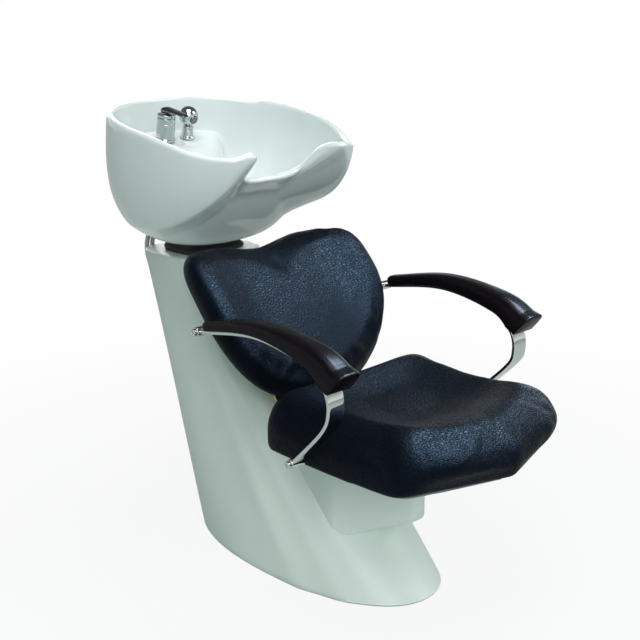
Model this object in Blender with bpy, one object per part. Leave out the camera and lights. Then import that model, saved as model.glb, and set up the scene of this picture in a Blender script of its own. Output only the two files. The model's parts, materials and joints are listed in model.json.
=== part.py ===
"""Backwash shampoo chair: a moulded base that carries a seat, a reclined back and a tilting bowl.

Metres, +Z up. The sitter faces -Y, and the origin is on the floor in the middle of the base.
The bowl hangs on a pin across the top of the base. On the bowl are a lever mixer and a hand spray.
"""

import math

import bmesh
import bpy
import numpy as np
from mathutils import Vector

# Clearances
SEAT_GAP = 0.0003
RUNNING_GAP = 0.0008
NOTCH_GAP = 0.004

# Base moulding
BASE_FRONT_Y = -0.339
BASE_REAR_Y = 0.403
BASE_WIDTH = 0.372
BASE_HEIGHT = 0.689
BASE_TOP_WIDTH = 0.256
BASE_TOP_FRONT = 0.345
BASE_TOP_REAR = 0.575
BASE_FLOOR_POWER = 2.15
BASE_TOP_POWER = 4.0
FRONT_HOLLOW = 0.016
REAR_HOLLOW = 0.022
PLINTH_HEIGHT = 0.014
BASE_EDGE_ROUND = 0.006
SHELL_WALL = 0.009
DECK_THICKNESS = 0.009

# Rear opening of the base and its panel
OPENING_WIDTH = 0.180
OPENING_FLOOR = 0.130
OPENING_HEADROOM = 0.060
HOSE_SLOT_HEIGHT = 0.045
CATCH_RADIUS = 0.012
CATCH_HEAD = 0.005
CATCH_STEM_RADIUS = 0.005
CATCH_TONGUE_LENGTH = 0.037
CATCH_TONGUE_WIDTH = 0.014
CATCH_TONGUE_THICKNESS = 0.004
CATCH_TONGUE_GAP = 0.003
CATCH_INSET = 0.022

# Inner steel frame
FLOOR_PLATE_WIDTH = 0.220
FLOOR_PLATE_LENGTH = 0.420
FLOOR_PLATE_THICKNESS = 0.008
FLOOR_PLATE_Y = 0.090
ANCHOR_HOLE_RADIUS = 0.0065
ANCHOR_EDGE = 0.030
FLOOR_WASTE_RADIUS = 0.035
MAST_SIZE = 0.030
MAST_WALL = 0.003
MAST_SPREAD = 0.116
MAST_FOOT_Y = 0.152
MAST_TOP_Y = 0.417
TOP_PLATE_WIDTH = 0.150
TOP_PLATE_THICKNESS = 0.005
RAIL_WIDTH = 0.020
RAIL_HEIGHT = 0.030
RAIL_WALL = 0.002
RAIL_OVERLAP = 0.020
RAIL_FRONT_SETBACK = 0.285

# Seat
SEAT_WIDTH = 0.518
SEAT_REAR_Y = -0.080
SEAT_FRONT_Y = -0.498
SEAT_PROW = 0.080
SEAT_PROW_WIDTH = 0.115
SEAT_POWER = 9.0
SEAT_BOARD_BOTTOM = 0.356
SEAT_BOARD_THICKNESS = 0.018
SEAT_BOARD_INSET = 0.012
SEAT_CUSHION_HEIGHT = 0.104
SEAT_EDGE_DRAW = 0.010
SEAT_DISH = 0.022
SEAT_FRONT_ROLL = 0.014
SEAT_BOLT_RADIUS = 0.004
SEAT_BOLT_HEAD_RADIUS = 0.008
SEAT_BOLT_HEAD = 0.004
SEAT_BOLT_FRONT_Y = -0.190
SEAT_BOLT_REAR_Y = -0.115

# Console under the seat
CONSOLE_WIDTH = 0.224
CONSOLE_NOSE_WIDTH = 0.030
CONSOLE_WALL = 0.006
CONSOLE_ROOT_Y = -0.140
CONSOLE_NOSE_Y = -0.316
CONSOLE_FOOT_Z = 0.117
CONSOLE_CHIN_Y = -0.298
CONSOLE_CHIN_Z = 0.182
CONSOLE_LIP_Z = 0.215
CONSOLE_ROUND = 0.006

# Back
BACK_FOOT_Y = -0.030
BACK_FOOT_Z = 0.437
BACK_LEAN = math.radians(40.0)
BACK_WIDTH = 0.540
BACK_HEIGHT = 0.425
BACK_WIDEST = 0.270
BACK_DIP = 0.030
BACK_DIP_WIDTH = 0.075
BACK_LOWER_POWER = 2.3
BACK_UPPER_POWER = 3.8
BACK_WRAP = 0.056
BACK_FLAT_WIDTH = 0.200
BACK_CUSHION_DEPTH = 0.046
BACK_EDGE_DRAW = 0.009
BACK_CROWN = 0.010
BACK_BOARD_THICKNESS = 0.012
BACK_BOARD_INSET = 0.012
BACK_PLATE_WIDTH = 0.250
BACK_PLATE_FOOT = 0.006
BACK_PLATE_HEIGHT = 0.200
BACK_PLATE_THICKNESS = 0.004
STRUT_HEIGHT = 0.040
STRUT_RISE = 0.130

# Arms
ARM_SIDE_CLEARANCE = 0.010
ARM_BAR_THICKNESS = 0.008
ARM_BAR_FRONT_WIDTH = 0.044
ARM_BAR_REAR_WIDTH = 0.024
ARM_BAR_FOOT_WIDTH = 0.032
ARM_EYE_Y = 0.085
ARM_EYE_Z = 0.604
ARM_TOP_Y = -0.113
ARM_TOP_Z = 0.635
ARM_SHOULDER_Y = -0.268
ARM_SHOULDER_Z = 0.614
ARM_BEND_Y = -0.328
ARM_BEND_Z = 0.578
ARM_FRONT_Y = -0.341
ARM_FRONT_Z = 0.530
ARM_KNEE_Y = -0.316
ARM_KNEE_Z = 0.480
ARM_FOOT_Y = -0.200
ARM_FOOT_IN = 0.014
ARM_BUSH_RADIUS = 0.011
ARM_BUSH_LENGTH = 0.036
ARM_BOLT_RADIUS = 0.005
ARM_BOLT_HEAD_RADIUS = 0.0085
ARM_BOLT_HEAD = 0.007
ARM_BOLT_GRIP = 0.015
ARM_PAD_REAR_WIDTH = 0.036
ARM_PAD_FRONT_WIDTH = 0.072
ARM_PAD_REAR_HEIGHT = 0.016
ARM_PAD_FRONT_HEIGHT = 0.058
ARM_PAD_END = 0.525
ARM_PAD_NOSE = 0.014
ARM_PAD_FACE = math.radians(42.0)
ARM_ANCHOR_SIZE = 0.020

# Tilting hinge of the bowl
TILT_Y = 0.475
TILT_RISE = 0.020
TILT_REST = math.radians(9.0)
TILT_PIN_RADIUS = 0.005
TILT_PIN_HEAD_RADIUS = 0.009
TILT_PIN_HEAD = 0.006
TILT_EAR_RADIUS = 0.011
TILT_EAR_THICKNESS = 0.006
TILT_EAR_SPREAD = 0.120
TILT_WASHER = 0.004
BRACKET_WIDTH = 0.138
BRACKET_FRONT_Y = 0.396
BRACKET_REAR_Y = 0.504
BRACKET_THICKNESS = 0.005
BRACKET_BOLT_RADIUS = 0.004
BRACKET_BOLT_HEAD_RADIUS = 0.007
BRACKET_BOLT_HEAD = 0.005
BRACKET_BOLT_EDGE = 0.009
CRADLE_LENGTH = 0.105
CRADLE_REAR = 0.030
CRADLE_THICKNESS = 0.005
CRADLE_PAD_THICKNESS = 0.003
BOOT_WIDTH = 0.180
BOOT_FRONT_Y = 0.379
BOOT_REAR_Y = 0.515
BOOT_WALL = 0.005
BOOT_WAIST = 0.006
BOOT_POWER = 5.0

# Bowl, in its own frame: the tilt axis is the origin and the rim is level
BOWL_WIDTH = 0.550
BOWL_RIM_HEIGHT = 0.321
BOWL_BOTTOM_HEIGHT = 0.025
BOWL_CENTRE = -0.070
BOWL_HORN_REACH = 0.346
BOWL_REAR_REACH = 0.275
BOWL_FRONT_POWER = 2.2
BOWL_REAR_POWER = 2.1
BOWL_WALL = 0.016
BOWL_BOTTOM_HALF_WIDTH = 0.085
BOWL_BOTTOM_HALF_LENGTH = 0.075
BOWL_BOTTOM_Y = -0.037
NECK_REACH = 0.200
NECK_FLARE = 0.140
NECK_DROP = 0.091
NECK_FLAT_ANGLE = math.radians(11.0)
NECK_LIP_ANGLE = math.radians(27.0)
HORN_INNER_ANGLE = math.radians(21.0)
HORN_TIP_ANGLE = math.radians(27.5)
REAR_SAG = 0.014
WING_SAG = 0.016
WING_SAG_ANGLE = math.radians(45.0)
WING_SAG_SPREAD = math.radians(25.0)
HULL_FRONT_POWER = 1.35
HULL_REAR_POWER = 2.9
HULL_TURN_ANGLE = math.radians(110.0)
WING_START_DEPTH = 0.28
WING_END_DEPTH = 0.90
WING_FALL_ANGLE = math.radians(30.0)
WING_EDGE = 0.13
SCOOP_FRONT_ANGLE = math.radians(60.0)
SCOOP_END_ANGLE = math.radians(140.0)
SCOOP_DEPTH = 0.044
DECK_LEVEL = 0.231
DECK_FRONT = 0.054
DECK_FRONT_CURVE = 2.2
DECK_SLOPE = 8.0
POCKET_WIDTH = 0.220
POCKET_FRONT = 0.074
POCKET_REAR = 0.140
POCKET_ROOF = 0.014

# Waste
WASTE_Y = -0.045
WASTE_TAIL_RADIUS = 0.018
WASTE_BORE_RADIUS = 0.0145
WASTE_FLANGE_RADIUS = 0.032
WASTE_FLANGE = 0.003
WASTE_GASKET = 0.0015
WASTE_TAIL_LENGTH = 0.120
WASTE_NUT_RADIUS = 0.026
WASTE_NUT = 0.008
WASTE_SWING = 0.012
STRAINER_SLOTS = 8
STRAINER_SLOT_RADIUS = 0.0026
STRAINER_SLOT_CIRCLE = 0.0095

# Mixer tap and hand spray
TAP_Y = 0.112
TAP_SPACING = 0.070
MIXER_RADIUS = 0.0195
MIXER_FLANGE_RADIUS = 0.024
MIXER_FLANGE = 0.007
MIXER_HEIGHT = 0.060
MIXER_WALL = 0.003
MIXER_SHANK_RADIUS = 0.014
MIXER_SHANK_LENGTH = 0.042
TAP_NUT_RADIUS = 0.022
TAP_NUT = 0.008
CARTRIDGE_HEIGHT = 0.034
CARTRIDGE_RADIUS = 0.015
STEM_RADIUS = 0.006
CAP_HEIGHT = 0.010
CAP_EDGE = 0.0015
LEVER_AXIS_RISE = 0.009
LEVER_LENGTH = 0.082
LEVER_WIDTH = 0.034
LEVER_TIP_WIDTH = 0.020
LEVER_THICKNESS = 0.007
LEVER_RISE = 0.004
INDEX_RADIUS = 0.003
INDEX_DEPTH = 0.0012
GUIDE_BASE_RADIUS = 0.0185
GUIDE_TOP_RADIUS = 0.0135
GUIDE_HEIGHT = 0.024
GUIDE_BORE_RADIUS = 0.0100
GUIDE_SHANK_RADIUS = 0.0125
SPRAY_SHANK_RADIUS = 0.0090
SPRAY_SHANK_LENGTH = 0.050
SPRAY_COLLAR_RADIUS = 0.0140
SPRAY_COLLAR = 0.007
SPRAY_BALL_RADIUS = 0.0205
SPRAY_BALL_HEIGHT = 0.056
SPRAY_FACE_RADIUS = 0.0085
SPRAY_FACE_DEPTH = 0.004
SPRAY_FACE_PITCH = math.radians(12.0)

# Supply hoses and stop valves
HOSE_RADIUS = 0.006
HOSE_PITCH = 0.017
VALVE_RADIUS = 0.011
VALVE_LENGTH = 0.060
VALVE_HEIGHT = 0.404
HOSE_RISE = 0.034
HOSE_LEAD_IN = 0.106
HOSE_DROP_IN = 0.058
HOSE_BOW = 0.030
HOSE_TAIL = 0.035
HOSE_UPPER_BEND = 0.120
HOSE_LANE_SLOT = -0.062
HOSE_LANE_WALL = -0.084
HOSE_LANE_TOP = -0.100
HOSE_LANE_BOWL = -0.082
TAIL_RADIUS = 0.005
TAIL_LENGTH = 0.012

# Mesh resolution
BASE_SIDES = 36
SEAT_SIDES = 48
BACK_SIDES = 48
TURNED_SIDES = 20
FASTENER_SIDES = 8
HULL_ROWS = 12
PAD_SIDES = 16
PATH_POINTS = 37
FLAT_LIMIT = 0.00002

# Places worked out from the sizes above
TILT_Z = BASE_HEIGHT + TILT_RISE
SEAT_BOARD_TOP = SEAT_BOARD_BOTTOM + SEAT_BOARD_THICKNESS
OPENING_TOP = BASE_HEIGHT - OPENING_HEADROOM
PANEL_TOP = OPENING_TOP - HOSE_SLOT_HEIGHT
ARM_SPREAD = SEAT_WIDTH + ARM_BAR_FRONT_WIDTH + 2 * ARM_SIDE_CLEARANCE
SEAT_HALF = SEAT_WIDTH / 2
ARM_FOOT_Z = SEAT_BOARD_BOTTOM + SEAT_BOARD_THICKNESS / 2
TAP_X = TAP_SPACING / 2


def clear_scene():
    for item in list(bpy.data.objects):
        bpy.data.objects.remove(item, do_unlink=True)


def finish(name, colour, roughness, metallic=0.0):
    """A Principled material with the colour, roughness and metal value of one finish."""
    made = bpy.data.materials.new(name)
    made.use_nodes = True
    shader = made.node_tree.nodes["Principled BSDF"]
    shader.inputs["Base Color"].default_value = (*colour, 1.0)
    shader.inputs["Roughness"].default_value = roughness
    shader.inputs["Metallic"].default_value = metallic
    made.diffuse_color = (*colour, 1.0)
    return made


def add_object(name, mesh, material=None, parent=None, place=(0, 0, 0), turn=(0, 0, 0)):
    """Link a mesh as a named object, shaded smooth up to the sharp edges."""
    item = bpy.data.objects.new(name, mesh)
    bpy.context.collection.objects.link(item)
    item.location = place
    item.rotation_euler = turn
    item.parent = parent
    if material:
        mesh.materials.append(material)
    mesh.shade_smooth()
    mesh.set_sharp_from_angle(angle=math.radians(35))
    return item


def add_axis(name, place, turn=(0, 0, 0), parent=None):
    """An empty that marks a joint's axis or a leaning frame."""
    axis = bpy.data.objects.new(name, None)
    bpy.context.collection.objects.link(axis)
    axis.location = place
    axis.rotation_euler = turn
    axis.parent = parent
    return axis


def fill_quad(form, a, b, c, d):
    """Close four corners: one flat face, or two split along the shorter diagonal."""
    normal = (c.co - a.co).cross(d.co - b.co)
    first, second = (c.co - a.co).length, (d.co - b.co).length
    split = first < second
    if abs(first - second) < FLAT_LIMIT:
        highest = max((a, b, c, d), key=lambda v: (round(v.co.z, 5), round(v.co.x, 5)))
        split = highest in (a, c)
    if abs(normal.normalized().dot(b.co - a.co)) < FLAT_LIMIT:
        form.faces.new((a, b, c, d))
    elif split:
        form.faces.new((a, b, c))
        form.faces.new((a, c, d))
    else:
        form.faces.new((a, b, d))
        form.faces.new((b, c, d))


def loft(name, rings, closed=False):
    """Skin a stack of equal rings. The ends get flat caps, or meet each other where closed."""
    rings = np.asarray(rings, float)
    rows, count = rings.shape[:2]
    form = bmesh.new()
    verts = [form.verts.new(point) for point in rings.reshape(-1, 3)]
    loops = [verts[row * count:(row + 1) * count] for row in range(rows)]
    pairs = list(zip(loops, loops[1:]))
    if closed:
        pairs.append((loops[-1], loops[0]))
    for lower, upper in pairs:
        for side in range(count):
            after = (side + 1) % count
            fill_quad(form, lower[side], lower[after], upper[after], upper[side])
    if not closed:
        form.faces.new(list(reversed(loops[0])))
        form.faces.new(loops[-1])
    bmesh.ops.recalc_face_normals(form, faces=form.faces)
    mesh = bpy.data.meshes.new(name)
    form.to_mesh(mesh)
    form.free()
    return mesh


def circle(radius, height, sides):
    angle = np.linspace(0, 2 * math.pi, sides, endpoint=False)
    level = np.full(sides, height)
    return np.stack([radius * np.cos(angle), radius * np.sin(angle), level], axis=1)


def turned(name, profile, sides=TURNED_SIDES, closed=False):
    """Turn (radius, height) points about Z. A closed profile leaves a bore."""
    return loft(name, [circle(radius, height, sides) for radius, height in profile], closed)


def hollow(name, outer, inner, bottom, top, sides=TURNED_SIDES):
    """A plain ring, pipe or nut, with its inner flats clear of the inner radius."""
    inner = inner / math.cos(math.pi / sides)
    profile = [(outer, bottom), (outer, top), (inner, top), (inner, bottom)]
    return turned(name, profile, sides, closed=True)


def slab(name, low, high, round_edges=0.0):
    """A box between two corners, with bevelled edges where asked."""
    form = bmesh.new()
    bmesh.ops.create_cube(form, size=1.0)
    low, high = Vector(low), Vector(high)
    for vert in form.verts:
        vert.co = Vector(a + (b - a) * (c + 0.5) for a, b, c in zip(low, high, vert.co))
    if round_edges:
        bmesh.ops.bevel(form, geom=list(form.edges), offset=round_edges, segments=2,
                        profile=0.5, affect="EDGES")
    mesh = bpy.data.meshes.new(name)
    form.to_mesh(mesh)
    form.free()
    return mesh


def square_tube(name, foot, head, size, wall):
    """An open square tube, cut level at both ends. Size and wall are (X, Y) pairs."""
    corner = np.array([(-0.5, -0.5), (0.5, -0.5), (0.5, 0.5), (-0.5, 0.5)])

    def ring(centre, inset):
        flat = corner * (np.array(size) - 2 * inset)
        return np.column_stack([flat + np.array(centre)[:2], np.full(4, centre[2])])

    rings = [ring(foot, 0), ring(head, 0), ring(head, wall), ring(foot, wall)]
    return loft(name, rings, closed=True)


def extruded(name, outline, half_width):
    """Carry a (Y, Z) outline along X, both ways from the middle."""
    rings = [[(side * half_width, y, z) for y, z in outline] for side in (-1, 1)]
    return loft(name, rings)


def boolean(target, other, operation):
    """Cut or join with another object, which is then only a guide."""
    step = target.modifiers.new(operation.title(), "BOOLEAN")
    step.operation = operation
    step.solver = "EXACT"
    step.object = other
    other.hide_render = True
    other.display_type = "WIRE"


def cut(target, other):
    boolean(target, other, "DIFFERENCE")


def join(target, other):
    boolean(target, other, "UNION")


def fade(value, start, end):
    """1 up to start, 0 past end, with a smooth fall between."""
    share = np.clip((value - start) / (end - start), 0, 1)
    return 1 - share * share * (3 - 2 * share)


def superellipse(half_x, back, ahead, power, sides):
    """Plan points of a rounded outline, with separate reaches towards +Y and -Y."""
    angle = np.linspace(0, 2 * math.pi, sides, endpoint=False)
    c, s = np.cos(angle), np.sin(angle)
    x = half_x * np.sign(c) * np.abs(c) ** (2 / power)
    y = np.where(s > 0, back, ahead) * np.sign(s) * np.abs(s) ** (2 / power)
    return x, y


def smooth_path(knots, count):
    """Points on a Catmull-Rom curve through the knots, spaced evenly by knot."""
    knots = np.asarray(knots, float)
    ends = np.vstack([2 * knots[0] - knots[1], knots, 2 * knots[-1] - knots[-2]])
    place = np.linspace(0, len(knots) - 1, count)
    index = np.minimum(place.astype(int), len(knots) - 2)
    t = (place - index)[:, None]
    a, b, c, d = (ends[index + step] for step in range(4))
    return 0.5 * (2 * b + (c - a) * t + (2 * a - 5 * b + 4 * c - d) * t ** 2
                  + (3 * b - a - 3 * c + d) * t ** 3)


# Base moulding


def base_sides(z):
    """Front, rear, half width and outline power of the base at a height."""
    t = min(max(z / BASE_HEIGHT, 0.0), 1.0)
    bend = 4 * t * (1 - t)
    front = BASE_FRONT_Y + (BASE_TOP_FRONT - BASE_FRONT_Y) * t + FRONT_HOLLOW * bend
    rear = BASE_REAR_Y + (BASE_TOP_REAR - BASE_REAR_Y) * t - REAR_HOLLOW * bend
    half = (BASE_WIDTH + (BASE_TOP_WIDTH - BASE_WIDTH) * t) / 2
    power = BASE_FLOOR_POWER + (BASE_TOP_POWER - BASE_FLOOR_POWER) * t
    return front, rear, half, power


def base_ring(z, inset=0.0):
    front, rear, half, power = base_sides(z)
    length = (rear - front) / 2 - inset
    x, y = superellipse(half - inset, length, length, power, BASE_SIDES)
    return np.column_stack([x, y + (front + rear) / 2, np.full(BASE_SIDES, z)])


def base_form(name, inset, foot, head):
    """The solid of the base outline, drawn in by an inset, between two heights."""
    levels = np.linspace(0, 1, 8) ** 1.4
    heights = [foot] + [PLINTH_HEIGHT + (head - PLINTH_HEIGHT) * level for level in levels]
    return loft(name, [base_ring(z, inset) for z in heights])


def base_block(name, inset):
    """The outside of the base with its top edge eased, larger by a negative inset."""
    levels = np.linspace(0, 1, 8) ** 1.4
    shoulder = BASE_HEIGHT - BASE_EDGE_ROUND
    heights = [0.0] + [PLINTH_HEIGHT + (shoulder - PLINTH_HEIGHT) * level for level in levels]
    rings = [base_ring(z, inset) for z in heights]
    rings.append(base_ring(BASE_HEIGHT, inset + BASE_EDGE_ROUND))
    return loft(name, rings)


def rear_prism(name, half_width, low, high):
    """A leaning block that passes through the rear wall between two heights."""
    rings = []
    for z in (low, high):
        rear = base_sides(z)[1]
        near, far = rear - OPENING_WIDTH / 2, rear + OPENING_WIDTH / 2
        rings.append([(-half_width, near, z), (half_width, near, z),
                      (half_width, far, z), (-half_width, far, z)])
    return loft(name, rings)


def rear_lean(z):
    """How far the rear wall leans back from upright at a height."""
    return math.atan2(base_sides(z + PLINTH_HEIGHT)[1] - base_sides(z)[1], PLINTH_HEIGHT)


def make_base(white):
    inner_top = BASE_HEIGHT - DECK_THICKNESS
    shell = add_object("base_shell", base_block("base_shell", 0.0), white)
    hollow_core = add_object("base_core", base_form("base_core", SHELL_WALL, -0.01, inner_top))
    opening = rear_prism("rear_opening", OPENING_WIDTH / 2, OPENING_FLOOR, OPENING_TOP)
    cut(shell, hollow_core)
    cut(shell, add_object("rear_opening", opening))

    panel_top = PANEL_TOP
    panel = add_object("rear_panel", base_block("rear_panel", 0.0), white)
    window = rear_prism("panel_window", OPENING_WIDTH / 2 - SEAT_GAP,
                        OPENING_FLOOR + SEAT_GAP, panel_top)
    boolean(panel, add_object("panel_window", window), "INTERSECT")
    cut(panel, hollow_core)
    return shell, panel


def make_panel_catch(panel, chrome):
    """A quarter-turn catch whose tongue reaches down behind the wall below the panel."""
    z = OPENING_FLOOR + CATCH_INSET
    lean = -rear_lean(z)
    y = base_sides(z)[1]
    wall = SHELL_WALL * math.cos(lean)
    outside = RUNNING_GAP
    stem_end = -wall - CATCH_TONGUE_GAP - CATCH_TONGUE_THICKNESS / 2
    profile = [(CATCH_STEM_RADIUS, stem_end), (CATCH_STEM_RADIUS, outside),
               (CATCH_RADIUS, outside), (CATCH_RADIUS * 0.8, outside + CATCH_HEAD)]
    turn = (lean - math.pi / 2, 0, 0)
    place = (0, y, z)
    catch = add_object("panel_catch", turned("panel_catch", profile, FASTENER_SIDES),
                       chrome, place=place, turn=turn)
    tongue_top = -wall - CATCH_TONGUE_GAP
    tongue = slab("catch_tongue",
                  (-CATCH_TONGUE_WIDTH / 2, -CATCH_STEM_RADIUS * 1.4,
                   tongue_top - CATCH_TONGUE_THICKNESS),
                  (CATCH_TONGUE_WIDTH / 2, CATCH_TONGUE_LENGTH - CATCH_STEM_RADIUS, tongue_top))
    join(catch, add_object("catch_tongue", tongue, place=place, turn=turn))
    bore = (CATCH_STEM_RADIUS + RUNNING_GAP / 2) / math.cos(math.pi / FASTENER_SIDES)
    drill = turned("catch_drill", [(bore, -0.03), (bore, 0.03)], FASTENER_SIDES)
    cut(panel, add_object("catch_drill", drill, place=place, turn=turn))


# Inner steel frame


def mast_y(z):
    """Middle of the leaning masts at a height."""
    top = BASE_HEIGHT - DECK_THICKNESS - TOP_PLATE_THICKNESS
    return MAST_FOOT_Y + (MAST_TOP_Y - MAST_FOOT_Y) * z / top


def waste_point(height):
    """World Y and Z of a point on the waste axis, from its height in the bowl's frame."""
    c, s = math.cos(TILT_REST), math.sin(TILT_REST)
    return TILT_Y + WASTE_Y * c - height * s, TILT_Z + WASTE_Y * s + height * c


def waste_drill(name, low, high):
    """Room for the waste tail to swing, between two world heights."""
    y = waste_point(-TILT_RISE)[0]
    radius = WASTE_TAIL_RADIUS + WASTE_SWING
    return add_object(name, turned(name, [(radius, low), (radius, high)]), place=(0, y, 0))


def make_floor_plate(steel):
    half = FLOOR_PLATE_WIDTH / 2
    front = FLOOR_PLATE_Y - FLOOR_PLATE_LENGTH / 2
    rear = FLOOR_PLATE_Y + FLOOR_PLATE_LENGTH / 2
    plate = add_object("floor_plate", slab("floor_plate", (-half, front, 0),
                                           (half, rear, FLOOR_PLATE_THICKNESS)), steel)
    depth = [(ANCHOR_HOLE_RADIUS, -0.01), (ANCHOR_HOLE_RADIUS, FLOOR_PLATE_THICKNESS + 0.01)]
    for side in (-1, 1):
        for name, y in (("front", front + ANCHOR_EDGE), ("rear", rear - ANCHOR_EDGE)):
            guide = f"anchor_{name}_{side}"
            drill = turned(guide, depth, FASTENER_SIDES)
            cut(plate, add_object(guide, drill, place=(side * (half - ANCHOR_EDGE), y, 0)))
    outlet = [(FLOOR_WASTE_RADIUS, -0.01), (FLOOR_WASTE_RADIUS, FLOOR_PLATE_THICKNESS + 0.01)]
    cut(plate, add_object("floor_waste", turned("floor_waste", outlet),
                          place=(0, FLOOR_PLATE_Y, 0)))


def make_masts(steel):
    foot = FLOOR_PLATE_THICKNESS + SEAT_GAP
    head = BASE_HEIGHT - DECK_THICKNESS - TOP_PLATE_THICKNESS - 2 * SEAT_GAP
    for side, name in ((-1, "mast_right"), (1, "mast_left")):
        x = side * MAST_SPREAD / 2
        tube = square_tube(name, (x, mast_y(foot), foot), (x, mast_y(head), head),
                           (MAST_SIZE, MAST_SIZE), MAST_WALL)
        add_object(name, tube, steel)


def make_top_plate(steel):
    top = BASE_HEIGHT - DECK_THICKNESS - SEAT_GAP
    half = TOP_PLATE_WIDTH / 2
    plate = slab("top_plate", (-half, BRACKET_FRONT_Y, top - TOP_PLATE_THICKNESS),
                 (half, BASE_TOP_REAR - 2.5 * SHELL_WALL, top))
    return add_object("top_plate", plate, steel)


def rail_x():
    """Middle of a seat rail or back strut, which lies against the inner side of its mast."""
    return (MAST_SPREAD - MAST_SIZE - RAIL_WIDTH) / 2 - SEAT_GAP


def rail_tube(name, x, inset, wall):
    """A square tube along Y under the seat board, grown by a negative inset."""
    top = SEAT_BOARD_BOTTOM - SEAT_GAP
    middle = top - RAIL_HEIGHT / 2
    front = SEAT_FRONT_Y + RAIL_FRONT_SETBACK
    rear = mast_y(middle) + RAIL_OVERLAP
    corner = np.array([(-0.5, -0.5), (0.5, -0.5), (0.5, 0.5), (-0.5, 0.5)])

    def ring(y, draw):
        flat = corner * (np.array([RAIL_WIDTH, RAIL_HEIGHT]) - 2 * draw)
        return [(x + across, y, middle + up) for across, up in flat]

    if wall:
        rings = [ring(front, 0), ring(rear, 0), ring(rear, wall), ring(front, wall)]
        return loft(name, rings, closed=True)
    return loft(name, [ring(front, inset), ring(rear, inset)])


def make_seat_rails(shell, steel):
    for side, name in ((-1, "seat_rail_right"), (1, "seat_rail_left")):
        x = side * rail_x()
        rail = add_object(name, rail_tube(name, x, 0, RAIL_WALL), steel)
        guide = f"{name}_slot"
        cut(shell, add_object(guide, rail_tube(guide, x, -SEAT_GAP, 0)))
        yield rail


# Seat


def seat_outline(inset, sides=SEAT_SIDES):
    """Plan of the seat: square shoulders, a rounded prow in front and a straight rear."""
    middle = (SEAT_REAR_Y + SEAT_FRONT_Y) / 2
    half_length = (SEAT_REAR_Y - SEAT_FRONT_Y) / 2 - inset
    x, y = superellipse(SEAT_HALF - inset, half_length, half_length, SEAT_POWER, sides)
    ahead = np.clip(-y / half_length, 0, 1)
    prow = SEAT_PROW * half_length / ((SEAT_REAR_Y - SEAT_FRONT_Y) / 2)
    y = y - prow * np.exp(-(x / SEAT_PROW_WIDTH) ** 2) * ahead ** 2
    return x, y + middle


def seat_ring(inset, z):
    x, y = seat_outline(inset)
    return np.column_stack([x, y, np.broadcast_to(z, x.shape)])


def seat_top(x, y):
    """Height of the cushion's upper face over its edge: dished, with a roll in front."""
    middle = (SEAT_REAR_Y + SEAT_FRONT_Y) / 2
    half_length = (SEAT_REAR_Y - SEAT_FRONT_Y) / 2
    across = x / (0.62 * SEAT_HALF)
    along = (y - middle) / (0.75 * half_length)
    dish = -SEAT_DISH * np.exp(-across ** 2 - along ** 2)
    front = (y - SEAT_FRONT_Y) / (0.45 * half_length)
    return dish + SEAT_FRONT_ROLL * np.exp(-front ** 2)


def make_seat(grey_board, leather):
    board_rings = [seat_ring(SEAT_BOARD_INSET, SEAT_BOARD_BOTTOM),
                   seat_ring(SEAT_BOARD_INSET, SEAT_BOARD_TOP)]
    board = add_object("seat_board", loft("seat_board", board_rings), grey_board)

    foot = SEAT_BOARD_TOP + SEAT_GAP
    side_rows = ((SEAT_EDGE_DRAW, 0.0), (0.002, 0.14), (0.0, 0.34), (0.001, 0.55),
                 (0.007, 0.74), (0.020, 0.90))
    top_rows = ((0.040, 0.98), (0.070, 1.0), (0.105, 1.0), (0.140, 1.0), (0.170, 1.0))
    rings = [seat_ring(inset, foot + share * SEAT_CUSHION_HEIGHT) for inset, share in side_rows]
    for inset, share in top_rows:
        x, y = seat_outline(inset)
        rings.append(np.column_stack([x, y, foot + share * SEAT_CUSHION_HEIGHT
                                      + share * seat_top(x, y)]))
    cushion = add_object("seat_cushion", loft("seat_cushion", rings), leather)
    notch = add_object("seat_notch", base_block("seat_notch", -NOTCH_GAP))
    cut(board, notch)
    cut(cushion, notch)
    return board


def make_seat_bolts(board, rails, chrome):
    """Two bolts up through each rail into the seat board."""
    low = SEAT_BOARD_BOTTOM - SEAT_GAP - RAIL_HEIGHT
    high = SEAT_BOARD_TOP - SEAT_BOARD_THICKNESS / 3
    profile = [(SEAT_BOLT_HEAD_RADIUS, low - SEAT_GAP - SEAT_BOLT_HEAD),
               (SEAT_BOLT_HEAD_RADIUS, low - SEAT_GAP),
               (SEAT_BOLT_RADIUS, low - SEAT_GAP), (SEAT_BOLT_RADIUS, high)]
    hole = SEAT_BOLT_RADIUS + SEAT_GAP
    depth = [(hole, low - SEAT_BOLT_HEAD), (hole, high + SEAT_GAP)]
    for rail, side in zip(rails, (-1, 1)):
        for row, y in (("front", SEAT_BOLT_FRONT_Y), ("rear", SEAT_BOLT_REAR_Y)):
            name = f"seat_bolt_{row}_{'left' if side > 0 else 'right'}"
            place = (side * rail_x(), y, 0)
            add_object(name, turned(name, profile, FASTENER_SIDES), chrome, place=place)
            drill = add_object(f"{name}_hole", turned(name, depth, FASTENER_SIDES), place=place)
            cut(board, drill)
            cut(rail, drill)


# Console


def console_plan(inset):
    """Half width of the console at its root and at its nose, as (Y, X) pairs."""
    return ((CONSOLE_ROOT_Y, CONSOLE_WIDTH / 2 - inset),
            (CONSOLE_NOSE_Y + inset, CONSOLE_NOSE_WIDTH / 2 - inset))


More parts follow.
